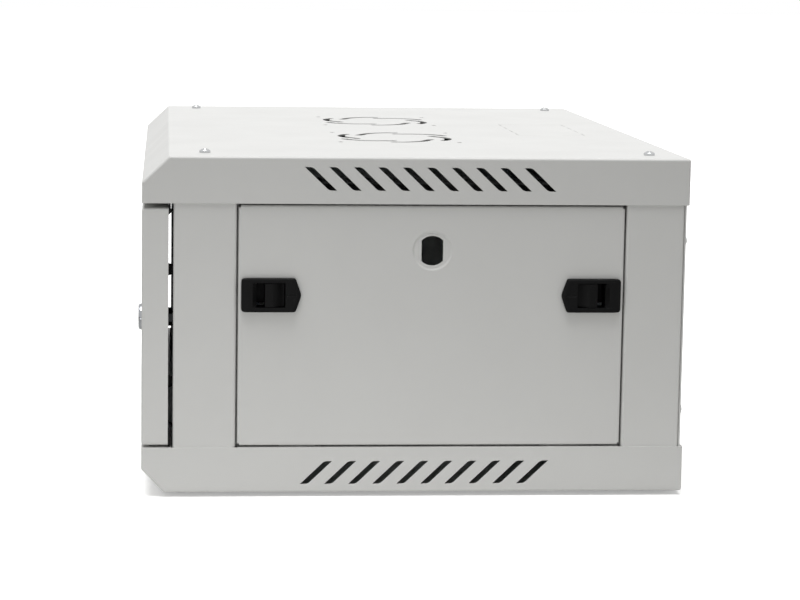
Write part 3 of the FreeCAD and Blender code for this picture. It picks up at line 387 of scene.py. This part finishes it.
for part in frame["record"]["subparts"]:
    cadObject = frame["nodes"][part["node"]]
    cadObject.data.materials.clear()
    cadObject.data.materials.append(finishes[part["material_slot"]])
print("materials made,", len(finishes))


# Surfaces made of loops

loopPoints = 192
angles = np.linspace(0, 2 * math.pi, loopPoints, endpoint=False)
cosines, sines = np.cos(angles), np.sin(angles)
tiny = 1e-6
sharpDegrees = 32  # an edge that turns by more is drawn sharp


def polygonLoop(sides, sharpness):
    # radius at each angle of a polygon about its centre; a side is its distance and the angle it
    # faces, and the power mean of the sides rounds the corners, less so with a greater sharpness
    facing = sum(np.maximum(np.cos(angles - turn), 0) ** sharpness / distance ** sharpness
                 for distance, turn in sides)
    return facing ** (-1 / sharpness)


def rectangleLoop(left, right, down, up, sharpness):
    # a polygon of four sides that face right, up, left and down
    return polygonLoop([(right, 0), (up, math.pi / 2), (left, math.pi), (down, 1.5 * math.pi)],
                       sharpness)


def crossLoop(reach, halfWidth):
    # radius at each angle of two crossed bars: the greater of their two rectangles
    cosineSize, sineSize = np.maximum(abs(cosines), tiny), np.maximum(abs(sines), tiny)
    bars = [np.minimum(along / cosineSize, across / sineSize)
            for along, across in ((reach, halfWidth), (halfWidth, reach))]
    return np.maximum(*bars)


def loopSurface(rows, closed=False):
    # rows are (radius, height) pairs, each a number or an array over the angles; neighbouring
    # loops are joined by quads, and the ends close in a pole each, or the last loop joins the first
    radii = np.array([np.broadcast_to(radius, loopPoints) for radius, _ in rows], float)
    heights = np.array([np.broadcast_to(height, loopPoints) for _, height in rows], float)
    points = np.stack([radii * cosines, radii * sines, heights], axis=2).reshape(-1, 3)
    index = np.arange(len(points)).reshape(len(rows), loopPoints)
    lower = index if closed else index[:-1]
    upper = np.roll(index, -1, axis=0) if closed else index[1:]
    quads = np.stack([lower, np.roll(lower, -1, axis=1), np.roll(upper, -1, axis=1), upper], axis=2)
    quads = quads.reshape(-1, 4)
    if closed:
        return points, [quads]
    poles = np.array([[0, 0, heights[0].mean()], [0, 0, heights[-1].mean()]])
    firstPole = np.full(loopPoints, len(points))
    first = np.stack([firstPole, np.roll(index[0], -1), index[0]], axis=1)
    last = np.stack([firstPole + 1, index[-1], np.roll(index[-1], -1)], axis=1)
    return np.vstack([points, poles]), [quads, first, last]


def joined(surfaces):
    # several surfaces as one, each with its own numbering moved up
    points, faces, count = [], [], 0
    for somePoints, someFaces in surfaces:
        points.append(somePoints)
        faces += [group + count for group in someFaces]
        count += len(somePoints)
    return np.vstack(points), faces


def copies(surface, places):
    # the surface repeated: each place is an origin in millimetres and the directions of its three
    # axes, and the faces are turned round where the axes make a mirror image
    points, faces = surface
    placed = []
    for origin, axes in places:
        turn = np.array(axes, float)
        flip = np.linalg.det(turn) < 0
        placed.append((points @ turn + np.array(origin, float),
                       [group[:, ::-1] if flip else group for group in faces]))
    allPoints, allFaces = joined(placed)
    return allPoints * millimetre, allFaces


def makePiece(name, surface, body, slot, replaced):
    # the surface becomes a smooth mesh with sharp creases, rides on the body and hides the CAD node
    points, faces = surface
    mesh = bpy.data.meshes.new(name)
    mesh.from_pydata(points.tolist(), [], [face for group in faces for face in group.tolist()])
    mesh.shade_smooth()
    mesh.set_sharp_from_angle(angle=math.radians(sharpDegrees))
    mesh.materials.append(finishes[slot])
    piece = bpy.data.objects.new(name, mesh)
    bpy.context.scene.collection.objects.link(piece)
    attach(piece, body)
    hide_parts(replaced)


def boxMm(node):
    # the node's lowest and highest corners in millimetres
    low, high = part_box(node)
    return np.array(low) * 1000, np.array(high) * 1000


rightward, leftward = (1, 0, 0), (-1, 0, 0)
wallward, doorward = (0, 1, 0), (0, -1, 0)
upward, downward = (0, 0, 1), (0, 0, -1)


# Screws: a domed head with a cross recess on a threaded shank

coverScrew = {"head": 9.2, "rise": 3.6, "shank": 5.0, "length": 11.0, "pitch": 0.8}
rearScrew = {"head": 8.4, "rise": 2.4, "shank": 4.8, "length": 9.0, "pitch": 0.8}
railScrew = {"head": 10.0, "rise": 3.4, "shank": 6.0, "length": 9.5, "pitch": 1.0}
camScrew = {"head": 7.0, "rise": 2.4, "shank": 3.6, "length": 7.0, "pitch": 0.7}
screwShape = {
    "tipShare": 0.55,  # of the shank's radius
    "tipLength": 0.8,
    "threadDepth": 0.18,
    "loopsPerTurn": 4,
    "neck": 0.3,
    "undersideShare": 0.97,  # of the head's radius
    "rimShare": 0.5,  # of the head's rise
    "rimFoot": 0.12,
    "rimTop": 0.15,
    "domeShares": (0.985, 0.95, 0.9, 0.82, 0.72),  # of the head's radius
    "recessReach": 0.56,  # of the head's radius
    "recessHalfWidth": 0.115,  # of the head's radius
    "recessDepth": 0.55,  # of the head's rise
    "recessFlare": 1.06,  # of the cross
    "recessLip": 0.12,
    "recessWall": (0.72, 0.25),  # share of the cross, and height over its floor
    "recessFloor": 0.5,  # of the cross
}


def screwSurface(size, shape):
    # from the tip up: a thread as a cosine that turns once a pitch, underside, rim, dome as a
    # parabola, then the cross going down to its floor
    radius, stem = size["head"] / 2, size["shank"] / 2
    rim = size["rise"] * shape["rimShare"]

    def dome(share):
        return rim + (size["rise"] - rim) * (1 - share ** 2)

    turns = 2 * math.pi / size["pitch"]
    levels = np.arange(-size["length"] + shape["tipLength"], -shape["neck"],
                       size["pitch"] / shape["loopsPerTurn"])
    rows = [(shape["tipShare"] * stem, -size["length"])]
    rows += [(stem - shape["threadDepth"] * (0.5 + 0.5 * np.cos(turns * level + angles)), level)
             for level in levels]
    rows += [(stem, 0), (radius * shape["undersideShare"], 0), (radius, shape["rimFoot"])]
    rows += [(radius, rim - shape["rimTop"])]
    rows += [(radius * share, dome(share)) for share in shape["domeShares"]]
    cross = crossLoop(shape["recessReach"], shape["recessHalfWidth"])
    flared = cross * shape["recessFlare"]
    floor = dome(0) - shape["recessDepth"] * size["rise"]
    wallShare, wallHeight = shape["recessWall"]
    rows += [(radius * flared, dome(flared)), (radius * cross, dome(cross) - shape["recessLip"])]
    rows += [(radius * cross * wallShare, floor + wallHeight)]
    rows += [(radius * cross * shape["recessFloor"], floor)]
    return loopSurface(rows)


def fourPlaces(node, size, axes):
    # the four corners of the node's box, less the head's radius, in the plane across the screws
    low, high = boxMm(node)
    along = int(np.argmax(np.abs(axes[2])))
    first, second = [k for k in range(3) if k != along]
    seat = high[along] - size["rise"] if axes[2][along] > 0 else low[along] + size["rise"]
    inset = size["head"] / 2
    places = []
    for firstPlace in (low[first] + inset, high[first] - inset):
        for secondPlace in (low[second] + inset, high[second] - inset):
            origin = np.zeros(3)
            origin[[first, second, along]] = firstPlace, secondPlace, seat
            places.append((origin, axes))
    return places


def sidePairs(seat, ys, zs, rightAxes, leftAxes):
    # a place on the right and one on the left for each Y and Z, both at the same distance
    return [((x, y, z), axes) for y in ys for z in zs
            for x, axes in ((seat, rightAxes), (-seat, leftAxes))]


def railScrewPlaces():
    # heads towards the middle and shanks outward, at the box's corners less the head's radius
    low, high = boxMm("rail_screws")
    inset = railScrew["head"] / 2
    return sidePairs(high[0] - railScrew["length"], (low[1] + inset, high[1] - inset),
                     (low[2] + inset, high[2] - inset),
                     (wallward, downward, leftward), (wallward, upward, rightward))


for name, size, node, axes in (
        ("topScrews", coverScrew, "top_cover_screws", (rightward, wallward, upward)),
        ("bottomScrews", coverScrew, "bottom_cover_screws", (rightward, doorward, downward)),
        ("rearScrews", rearScrew, "rear_panel_screws", (leftward, upward, wallward))):
    makePiece(name, copies(screwSurface(size, screwShape), fourPlaces(node, size, axes)),
              "cabinet", "screw_zinc", node)
makePiece("railScrews", copies(screwSurface(railScrew, screwShape), railScrewPlaces()),
          "cabinet", "screw_zinc", "rail_screws")
print("screws made")


# Hexagonal nuts with bevelled corners, on the rail screws

railNut = {"across": 10.0, "thickness": 5.0, "bore": 6.1, "bevel": 0.8}
nutShape = {
    "sharpness": 90,
    "endShare": 0.99,  # of half the width across the flats, where the cone meets the end
    "endHeight": 0.02,
    "boreBevel": 0.4,
}


def nutSurface(size, boreLoop, shape):
    # outer faces up, bevelled corners, top ring inward, bore down; a cone cuts both ends' corners
    flat, high, chamfer = size["across"] / 2, size["thickness"], shape["boreBevel"]
    hexagon = polygonLoop([(flat, k * math.pi / 3) for k in range(6)], shape["sharpness"])
    bevelled = np.minimum(hexagon, flat * shape["endShare"])
    cut = (hexagon - flat) * size["bevel"]
    rows = [(bevelled, 0), (hexagon, cut + shape["endHeight"])]
    rows += [(hexagon, high - shape["endHeight"] - cut), (bevelled, high)]
    rows += [(boreLoop + chamfer, high), (boreLoop, high - chamfer)]
    rows += [(boreLoop, chamfer), (boreLoop + chamfer, 0)]
    return loopSurface(rows, closed=True)


def railNutPlaces():
    # on the screws' outer ends, at the box's corners less half the nut's width each way
    low, high = boxMm("rail_nuts")
    corner = railNut["across"] / math.sqrt(3)
    flat = railNut["across"] / 2
    return sidePairs(high[0] - railNut["thickness"], (low[1] + flat, high[1] - flat),
                     (low[2] + corner, high[2] - corner),
                     (wallward, upward, rightward), (wallward, downward, leftward))


railNutBore = np.full(loopPoints, railNut["bore"] / 2)
makePiece("railNuts", copies(nutSurface(railNut, railNutBore, nutShape), railNutPlaces()),
          "cabinet", "screw_zinc", "rail_nuts")
print("rail nuts made")


# Slide latches of the side panels. U runs to the post, V up and W out of the panel; the loops
# are centred in the window, and each latch is turned and mirrored to its corner.

latch = {
    "length": 49.4,
    "halfHeight": 14.0,
    "point": 5.0,
    "thickness": 4.0,
    "centre": 24.25,  # from the post's end to the middle of the window
    "postSharpness": 15,
    "pointSharpness": 33,
    "sharpenOver": (-0.3, 0.4),  # of the cosine towards the point
    "windowHalfLength": 11.75,
    "windowHalfHeight": 10.25,
    "windowSlope": 3.0,
    "windowSharpness": 60,
    "bodyToPost": 16.25,
    "bodyToPoint": 16.75,
    "bodyHalfHeight": 12.5,
    "bodyDepth": 13.5,
    "snapRise": 1.2,
    "snapHalfLength": 5.0,
    "snapFrom": 6.3,  # below the flange: where the snap begins, is full, and has ended
    "snapFull": 1.45,
    "snapEnd": 1.35,
    "flangeEdge": 0.15,
    "shoulder": 1.5,
    "pointShoulder": 3.4,
    "pointOver": (0.55, 0.95),  # of the cosine towards the point
    "edgeDrop": 1.3,
    "shoulderShares": (0.15, 0.4, 0.65, 0.85, 1.0),
    "faceShares": (0.08, 0.95),
    "faceLoops": 22,
    "mouthBevel": 0.4,
    "mouthEdge": 0.1,
    "groove": (-22.4, -12.6),  # along U, from the latch's centre
    "grooveHalfWidth": 0.55,
    "grooveDepth": 0.45,
    "grooveEnd": 0.4,
    "grooveWall": (0.6, 1.4),  # of its half width
    "travel": 6.5,
    "gap": 0.35,
    "padDrop": 0.4,
    "padSoft": 0.35,
    "scoopDepth": 4.0,
    "lipGap": 2.1,
    "boltThickness": 3.0,
    "boltHalfHeight": 8.5,
    "boltEnd": 20.75,
    "boltSoft": 0.5,
}
cushion = {
    "sharpness": 40,
    "softStep": 0.3,  # of the soft edge
    "scoopOver": (-0.3, 0.9),  # of the reach to either end
    "topLoops": 18,
    "lastLoop": 0.04,
}


def smoothStep(value, low, high):
    # 0 below low, 1 above high and an even S between them
    share = np.clip((value - low) / (high - low), 0, 1)
    return share * share * (3 - 2 * share)


def latchOutline(size):
    # a rectangle with a blunt point away from the post, its corners sharper at the point
    half = size["halfHeight"]
    slant = math.atan2(size["point"], half)
    pointReach = (size["length"] - size["centre"]) * math.cos(slant)
    sharpening = size["pointSharpness"] - size["postSharpness"]
    sharpness = size["postSharpness"] + sharpening * smoothStep(-cosines, *size["sharpenOver"])
    return polygonLoop([(size["centre"], 0), (half, math.pi / 2), (pointReach, math.pi - slant),
                        (pointReach, math.pi + slant), (half, 1.5 * math.pi)], sharpness)


def grooveDrop(size, radius):
    # depth of the short groove at each point of a loop: full inside it, in an S to 0 at its walls
    u, v = radius * cosines, radius * sines
    (start, stop), end = size["groove"], size["grooveEnd"]
    inner, outer = (size["grooveHalfWidth"] * share for share in size["grooveWall"])
    inGroove = smoothStep(u, start - end, start + end)
    inGroove = inGroove * (1 - smoothStep(u, stop - end, stop + end))
    inGroove = inGroove * (1 - smoothStep(abs(v), inner, outer))
    return size["grooveDepth"] * inGroove


def latchHousingSurface(size):
    # loops go up the body's outside, out under the flange, up its edge and over its shoulder,
    # in across the face, down the window with its sloped edge, and back under the body
    outline, top, depth = latchOutline(size), size["thickness"], size["bodyDepth"]
    long, high = size["windowHalfLength"], size["windowHalfHeight"]
    slope, edge, bevel = size["windowSlope"], size["flangeEdge"], size["mouthBevel"]
    window = rectangleLoop(long, long, high, high, size["windowSharpness"])
    mouth = rectangleLoop(long, long + slope, high, high, size["windowSharpness"])
    body = rectangleLoop(size["bodyToPoint"], size["bodyToPost"], size["bodyHalfHeight"],
                         size["bodyHalfHeight"], size["windowSharpness"])
    onSnap = abs(body * cosines) < size["snapHalfLength"]
    snap = size["snapRise"] * onSnap / np.maximum(abs(sines), tiny)
    toPoint = smoothStep(-cosines, *size["pointOver"])
    shoulder = size["shoulder"] + (size["pointShoulder"] - size["shoulder"]) * toPoint
    rows = [(body, -depth), (body, -size["snapFrom"]), (body + snap, -size["snapFull"])]
    rows += [(body, -size["snapEnd"]), (body, 0)]
    rows += [(outline - edge, 0), (outline, edge), (outline, top - size["edgeDrop"])]
    for share in size["shoulderShares"]:
        drop = size["edgeDrop"] * (1 - math.sqrt(1 - (1 - share) ** 2))
        rows.append((outline - shoulder * share, top - drop))
    for share in np.linspace(*size["faceShares"], size["faceLoops"]):
        radius = (outline - shoulder) * (1 - share) + (mouth + bevel) * share
        rows.append((radius, top - grooveDrop(size, radius)))
    rows += [(mouth + bevel, top), (mouth + size["mouthEdge"], top - size["mouthEdge"])]
    rows += [(mouth, top - bevel), (window, top - slope), (window, -depth)]
    return loopSurface(rows, closed=True)


def cushionSurface(reach, scoop, low, high, soft, shape):
    # closed block on a rectangular loop: bottom pole, soft lower edge, sides, soft upper edge,
    # then across the top, which the scoop sinks in an S towards the end away from the post
    left, right, half = reach
    loop = rectangleLoop(left, right, half, half, shape["sharpness"])
    step = shape["softStep"] * soft

    def sunk(radius):
        start, end = shape["scoopOver"]
        return scoop * smoothStep(-radius * cosines, start * right, end * left)

    rows = [(loop - soft, low), (loop - step, low + step), (loop, low + soft)]
    rows += [(loop, high - soft - sunk(loop)), (loop - step, high - step - sunk(loop - step))]
    rows += [((loop - soft) * share, high - sunk((loop - soft) * share))
             for share in np.linspace(1, shape["lastLoop"], shape["topLoops"])]
    return loopSurface(rows)


def latchSlideSurfaces(size, shape):
    # the thumb pad drawn back from the post, and the bolt under it that points to the post,
    # each with its middle along U
    top = size["thickness"] - size["padDrop"]
    padLeft = size["windowHalfLength"] - size["gap"]
    padRight = size["windowHalfLength"] - size["gap"] - size["travel"]
    half = (padRight + padLeft) / 2
    under = -size["bodyDepth"] - size["lipGap"]
    pad = cushionSurface((half, half, size["windowHalfHeight"] - size["gap"]), size["scoopDepth"],
                         under - size["boltThickness"] / 2, top, size["padSoft"], shape)
    boltHalf = (size["boltEnd"] + padLeft) / 2
    bolt = cushionSurface((boltHalf, boltHalf, size["boltHalfHeight"]), 0.0,
                          under - size["boltThickness"], under, size["boltSoft"], shape)
    return (pad, (padRight - padLeft) / 2), (bolt, (size["boltEnd"] - padLeft) / 2)


def latchPlace(end, side):
    # origin in the window's middle on the panel's face, and the three directions of U, V and W
    low, high = boxMm(f"{end}_latch_housing_{side}")
    toPost = doorward if end == "front" else wallward
    out = rightward if side == "right" else leftward
    x = high[0] - latch["thickness"] if side == "right" else low[0] + latch["thickness"]
    y = low[1] + latch["centre"] if end == "front" else high[1] - latch["centre"]
    return np.array([x, y, (low[2] + high[2]) / 2]), (toPost, upward, out)


housingSurface = latchHousingSurface(latch)
slideSurfaces = latchSlideSurfaces(latch, cushion)
for side in ("right", "left"):
    for end in ("front", "rear"):
        origin, axes = latchPlace(end, side)
        makePiece(f"{end}LatchHousing{side.capitalize()}", copies(housingSurface, [(origin, axes)]),
                  f"{side}_panel", "latch_plastic", f"{end}_latch_housing_{side}")
        placedSlides = [copies(surface, [(origin + np.array(axes[0]) * shift, axes)])
                        for surface, shift in slideSurfaces]
        makePiece(f"{end}LatchSlide{side.capitalize()}", joined(placedSlides),
                  f"{end}_latch_{side}", "slide_plastic", f"{end}_latch_slide_{side}")
print("latches made")


# Cam lock: threaded body with two flats, polished face ring, and a plug with a key slot

lock = {
    "faceRadius": 10.75,
    "proud": 2.8,
    "bevel": 1.0,
    "faceFoot": 0.1,
    "faceEdge": 0.2,
    "boreBevel": 0.3,
    "bodyRadius": 7.8,
    "bodyFlat": 6.8,
    "bodyLength": 26.4,
    "threadEnd": 0.2,
    "threadMm": 1.0,
    "threadLoops": 6,
    "threadDepth": 0.3,
    "plugRadius": 5.5,
    "plugGap": 0.05,
    "plugRecess": 0.5,
    "plugEdge": 0.3,
    "plugEdgeStep": 0.1,
    "squareHalf": 3.3,
    "squareSharpness": 60,
    "shoulder": 28.9,
    "squareEnd": 31.5,
    "slotHalfWidth": 0.9,
    "slotHalfLength": 3.5,
    "slotSharpness": 40,
    "slotEdge": 0.15,
    "slotDepth": 3.0,
}
lockNut = {"across": 21.0, "thickness": 4.0, "bevel": 0.8, "clearance": 0.05}


def flatsLoop(distance):
    # radius at each angle of two flats that face right and left
    return distance / np.maximum(abs(cosines), tiny)


def lockHousingSurface(size):
    # body's thread as a cosine that turns once a pitch, cut by the flats; then the face ring, its
    # outer edge bevelled, and the bore
    flats = flatsLoop(size["bodyFlat"])
    rows = []
    for level in np.arange(-size["bodyLength"], -size["threadEnd"],
                           size["threadMm"] / size["threadLoops"]):
        wave = 0.5 + 0.5 * np.cos(2 * math.pi * level / size["threadMm"] + angles)
        rows.append((np.minimum(size["bodyRadius"] - size["threadDepth"] * wave, flats), level))
    bore = size["plugRadius"] + size["plugGap"]
    proud, face, bevel = size["proud"], size["faceRadius"], size["bevel"]
    foot, edge, inner = size["faceFoot"], size["faceEdge"], size["boreBevel"]
    rows += [(np.minimum(size["bodyRadius"], flats), 0), (face - foot, 0), (face, foot)]
    rows += [(face, proud - bevel - edge), (face - foot, proud - bevel)]
    rows += [(face - bevel, proud - foot), (face - bevel - edge, proud)]
    rows += [(bore + inner, proud), (bore, proud - inner), (bore, -size["bodyLength"])]
    return loopSurface(rows, closed=True)


def lockPlugSurface(size):
    # square end, shoulder, barrel, softened face, and the key slot down to its floor
    half, wide, long = size["squareHalf"], size["slotHalfWidth"], size["slotHalfLength"]
    square = rectangleLoop(half, half, half, half, size["squareSharpness"])
    slot = rectangleLoop(wide, wide, long, long, size["slotSharpness"])
    radius, lip = size["plugRadius"], size["slotEdge"]
    edge, step = size["plugEdge"], size["plugEdgeStep"]
    face = size["proud"] - size["plugRecess"]
    rows = [(square - edge, -size["squareEnd"]), (square, -size["squareEnd"] + edge)]
    rows += [(square, -size["shoulder"]), (radius, -size["shoulder"]), (radius, face - edge)]
    rows += [(radius - step, face - step), (radius - edge, face)]
    rows += [(slot + lip, face), (slot, face - lip), (slot, face - size["slotDepth"])]
    return loopSurface(rows)


lockLow, lockHigh = boxMm("lock_housing")
lockX, lockZ = (lockLow[0] + lockHigh[0]) / 2, (lockLow[2] + lockHigh[2]) / 2
lockPlace = ((lockX, lockLow[1] + lock["proud"], lockZ), (rightward, upward, doorward))
makePiece("lockHousing", copies(lockHousingSurface(lock), [lockPlace]),
          "door", "chrome", "lock_housing")
makePiece("lockPlug", copies(lockPlugSurface(lock), [lockPlace]),
          "door_lock", "chrome", "lock_plug")

lockNutBore = np.minimum(lock["bodyRadius"] + lockNut["clearance"],
                         flatsLoop(lock["bodyFlat"] + lockNut["clearance"]))
lockNutPlace = ((lockX, boxMm("lock_nut")[0][1], lockZ), (rightward, downward, wallward))
makePiece("lockNut", copies(nutSurface(lockNut, lockNutBore, nutShape), [lockNutPlace]),
          "door", "zinc", "lock_nut")
camScrewPlace = ((lockX, boxMm("lock_cam_screw")[1][1] - camScrew["rise"], lockZ),
                 (leftward, upward, wallward))
makePiece("camScrew", copies(screwSurface(camScrew, screwShape), [camScrewPlace]),
          "door_lock", "zinc", "lock_cam_screw")
print("lock made")


# Rubber buffers: a stem pressed into the door's lip and a soft-edged cone that meets the post

buffer = {
    "base": 5.0,
    "tipShare": 0.85,
    "height": 3.6,
    "baseEdge": 0.2,
    "tipEdge": ((0.1, 0.8), (-0.15, 0.3), (-0.7, 0.0)),  # out from the tip, and down from the top
    "dimple": (0.5, 0.15),  # share of the tip's radius, and how deep
    "stem": 2.0,
    "stemLength": 4.5,
    "stemEnd": (0.7, 0.5),  # share of the stem's radius, and how long
}


def bufferSurface(size):
    # from the stem's end up: stem, base, cone, three loops round its edge, and a shallow dimple
    tip = size["base"] * size["tipShare"]
    (endShare, endLength), (dimpleShare, dimpleDepth) = size["stemEnd"], size["dimple"]
    rows = [(size["stem"] * endShare, -size["stemLength"])]
    rows += [(size["stem"], -size["stemLength"] + endLength), (size["stem"], 0)]
    rows += [(size["base"] - size["baseEdge"], 0), (size["base"], size["baseEdge"])]
    rows += [(tip + out, size["height"] - down) for out, down in size["tipEdge"]]
    rows += [(tip * dimpleShare, size["height"] - dimpleDepth)]
    return loopSurface(rows)


bufferLow, bufferHigh = boxMm("door_buffers")
bufferX = (bufferLow[0] + bufferHigh[0]) / 2
bufferY = bufferHigh[1] - buffer["height"]
bufferPlaces = [((bufferX, bufferY, z), (leftward, upward, wallward))
                for z in (bufferLow[2] + buffer["base"], bufferHigh[2] - buffer["base"])]
makePiece("doorBuffers", copies(bufferSurface(buffer), bufferPlaces),
          "door", "rubber", "door_buffers")
print("buffers made")


# Studio: a pale floor, a soft sky, an overhead lamp, a low fill panel and a white background

studio = {
    "floorColour": "#F4F4F3",
    "floorShade": "#F7F7F6",
    "cloudScale": 2.0,
    "cloudDetail": 2.0,
    "bounceNear": "#F4F4F2",  # what the floor gives back as light: a white table near the cabinet
    "bounceFar": "#8C8C8A",  # and a darker room beyond it
    "tableReach": 1.1,
    "shadowLift": 0.34,  # only seen by the camera, so that the shadow stays pale
    "floorSize": 30.0,
    "skyStrength": 0.34,
    "overheadStrength": 2.8,
    "overheadSoftness": 40.0,
    "overheadTurn": (4.0, 6.0),  # degrees about X and Y: from the front and the camera's side
    "fillPlace": (0.74, -0.3, 0.04),
    "fillAim": (0.3, -0.24, 0.16),
    "fillSize": (0.75, 0.14),
    "fillPower": 0.47,
}


def makeFloor(settings):
    # one square, matt; the camera sees its paint and a little glow, and other rays see a bright
    # table that darkens with the distance from the cabinet
    half = settings["floorSize"] / 2
    corners = [(-half, -half, 0), (half, -half, 0), (half, half, 0), (-half, half, 0)]
    mesh = bpy.data.meshes.new("studioFloor")
    mesh.from_pydata(corners, [], [(0, 1, 2, 3)])
    floor = bpy.data.objects.new("studioFloor", mesh)
    bpy.context.scene.collection.objects.link(floor)
    material, tree, place = newMaterial("paintedStudioFloor")
    cloud = addNode(tree, "ShaderNodeTexNoise",
                    {"Scale": settings["cloudScale"], "Detail": settings["cloudDetail"]},
                    {"Vector": place})
    paint = addNode(tree, "ShaderNodeMix",
                    {"data_type": "RGBA", 6: linear(settings["floorColour"]),
                     7: linear(settings["floorShade"])}, {0: cloud.outputs["Fac"]})
    spread = addNode(tree, "ShaderNodeMapping", {"Scale": (1 / settings["tableReach"],) * 3},
                     {"Vector": place})
    table = addNode(tree, "ShaderNodeTexGradient", {"gradient_type": "SPHERICAL"},
                    {"Vector": spread.outputs[0]})
    bounce = addNode(tree, "ShaderNodeMix",
                     {"data_type": "RGBA", 6: linear(settings["bounceFar"]),
                      7: linear(settings["bounceNear"])}, {0: table.outputs["Fac"]})
    path = addNode(tree, "ShaderNodeLightPath")
    seen = addNode(tree, "ShaderNodeMix", {"data_type": "RGBA"},
                   {0: path.outputs["Is Camera Ray"], 6: bounce.outputs[2], 7: paint.outputs[2]})
    lift = addNode(tree, "ShaderNodeMath", {"operation": "MULTIPLY", 1: settings["shadowLift"]},
                   {0: path.outputs["Is Camera Ray"]})
    matt = addNode(tree, "ShaderNodeBsdfDiffuse", None, {"Color": seen.outputs[2]})
    glow = addNode(tree, "ShaderNodeEmission", None, {"Strength": lift.outputs[0]})
    both = addNode(tree, "ShaderNodeAddShader", None, {0: matt.outputs[0], 1: glow.outputs[0]})
    closeMaterial(tree, both)
    mesh.materials.append(material)


def makeSky(settings):
    # white to the camera, to gloss and through glass, and as strong as the settings say as light
    world = bpy.data.worlds.new("whiteStudio")
    bpy.context.scene.world = world
    world.use_nodes = True
    tree = world.node_tree
    tree.nodes.clear()
    path = addNode(tree, "ShaderNodeLightPath")
    seen = addNode(tree, "ShaderNodeMath", {"operation": "MAXIMUM"},
                   {0: path.outputs["Is Camera Ray"], 1: path.outputs["Is Glossy Ray"]})
    shown = addNode(tree, "ShaderNodeMath", {"operation": "MAXIMUM"},
                    {0: seen.outputs[0], 1: path.outputs["Is Transmission Ray"]})
    strength = addNode(tree, "ShaderNodeMapRange",
                       {"To Min": settings["skyStrength"], "To Max": 1.0},
                       {"Value": shown.outputs[0]})
    sky = addNode(tree, "ShaderNodeBackground", {"Color": (1, 1, 1, 1)},
                  {"Strength": strength.outputs["Result"]})
    addNode(tree, "ShaderNodeOutputWorld", None, {"Surface": sky.outputs[0]})


def makeLamps(settings):
    # a soft overhead lamp, and a low panel that looks from its place at its aim
    lamp = bpy.data.lights.new("overheadLamp", "SUN")
    lamp.energy = settings["overheadStrength"]
    lamp.angle = math.radians(settings["overheadSoftness"])
    overhead = bpy.data.objects.new("overheadLamp", lamp)
    overhead.rotation_euler[:2] = [math.radians(angle) for angle in settings["overheadTurn"]]
    bpy.context.scene.collection.objects.link(overhead)

    panel = bpy.data.lights.new("lowFillPanel", "AREA")
    panel.shape = "RECTANGLE"
    panel.size, panel.size_y = settings["fillSize"]
    panel.energy = settings["fillPower"]
    fill = bpy.data.objects.new("lowFillPanel", panel)
    fill.location = settings["fillPlace"]
    aim = Vector(settings["fillAim"]) - fill.location
    fill.rotation_euler = aim.to_track_quat("-Z", "Y").to_euler()
    fill.visible_camera = False
    bpy.context.scene.collection.objects.link(fill)


makeFloor(studio)
makeSky(studio)
makeLamps(studio)
bpy.context.scene.view_settings.view_transform = "Standard"
print("studio made")
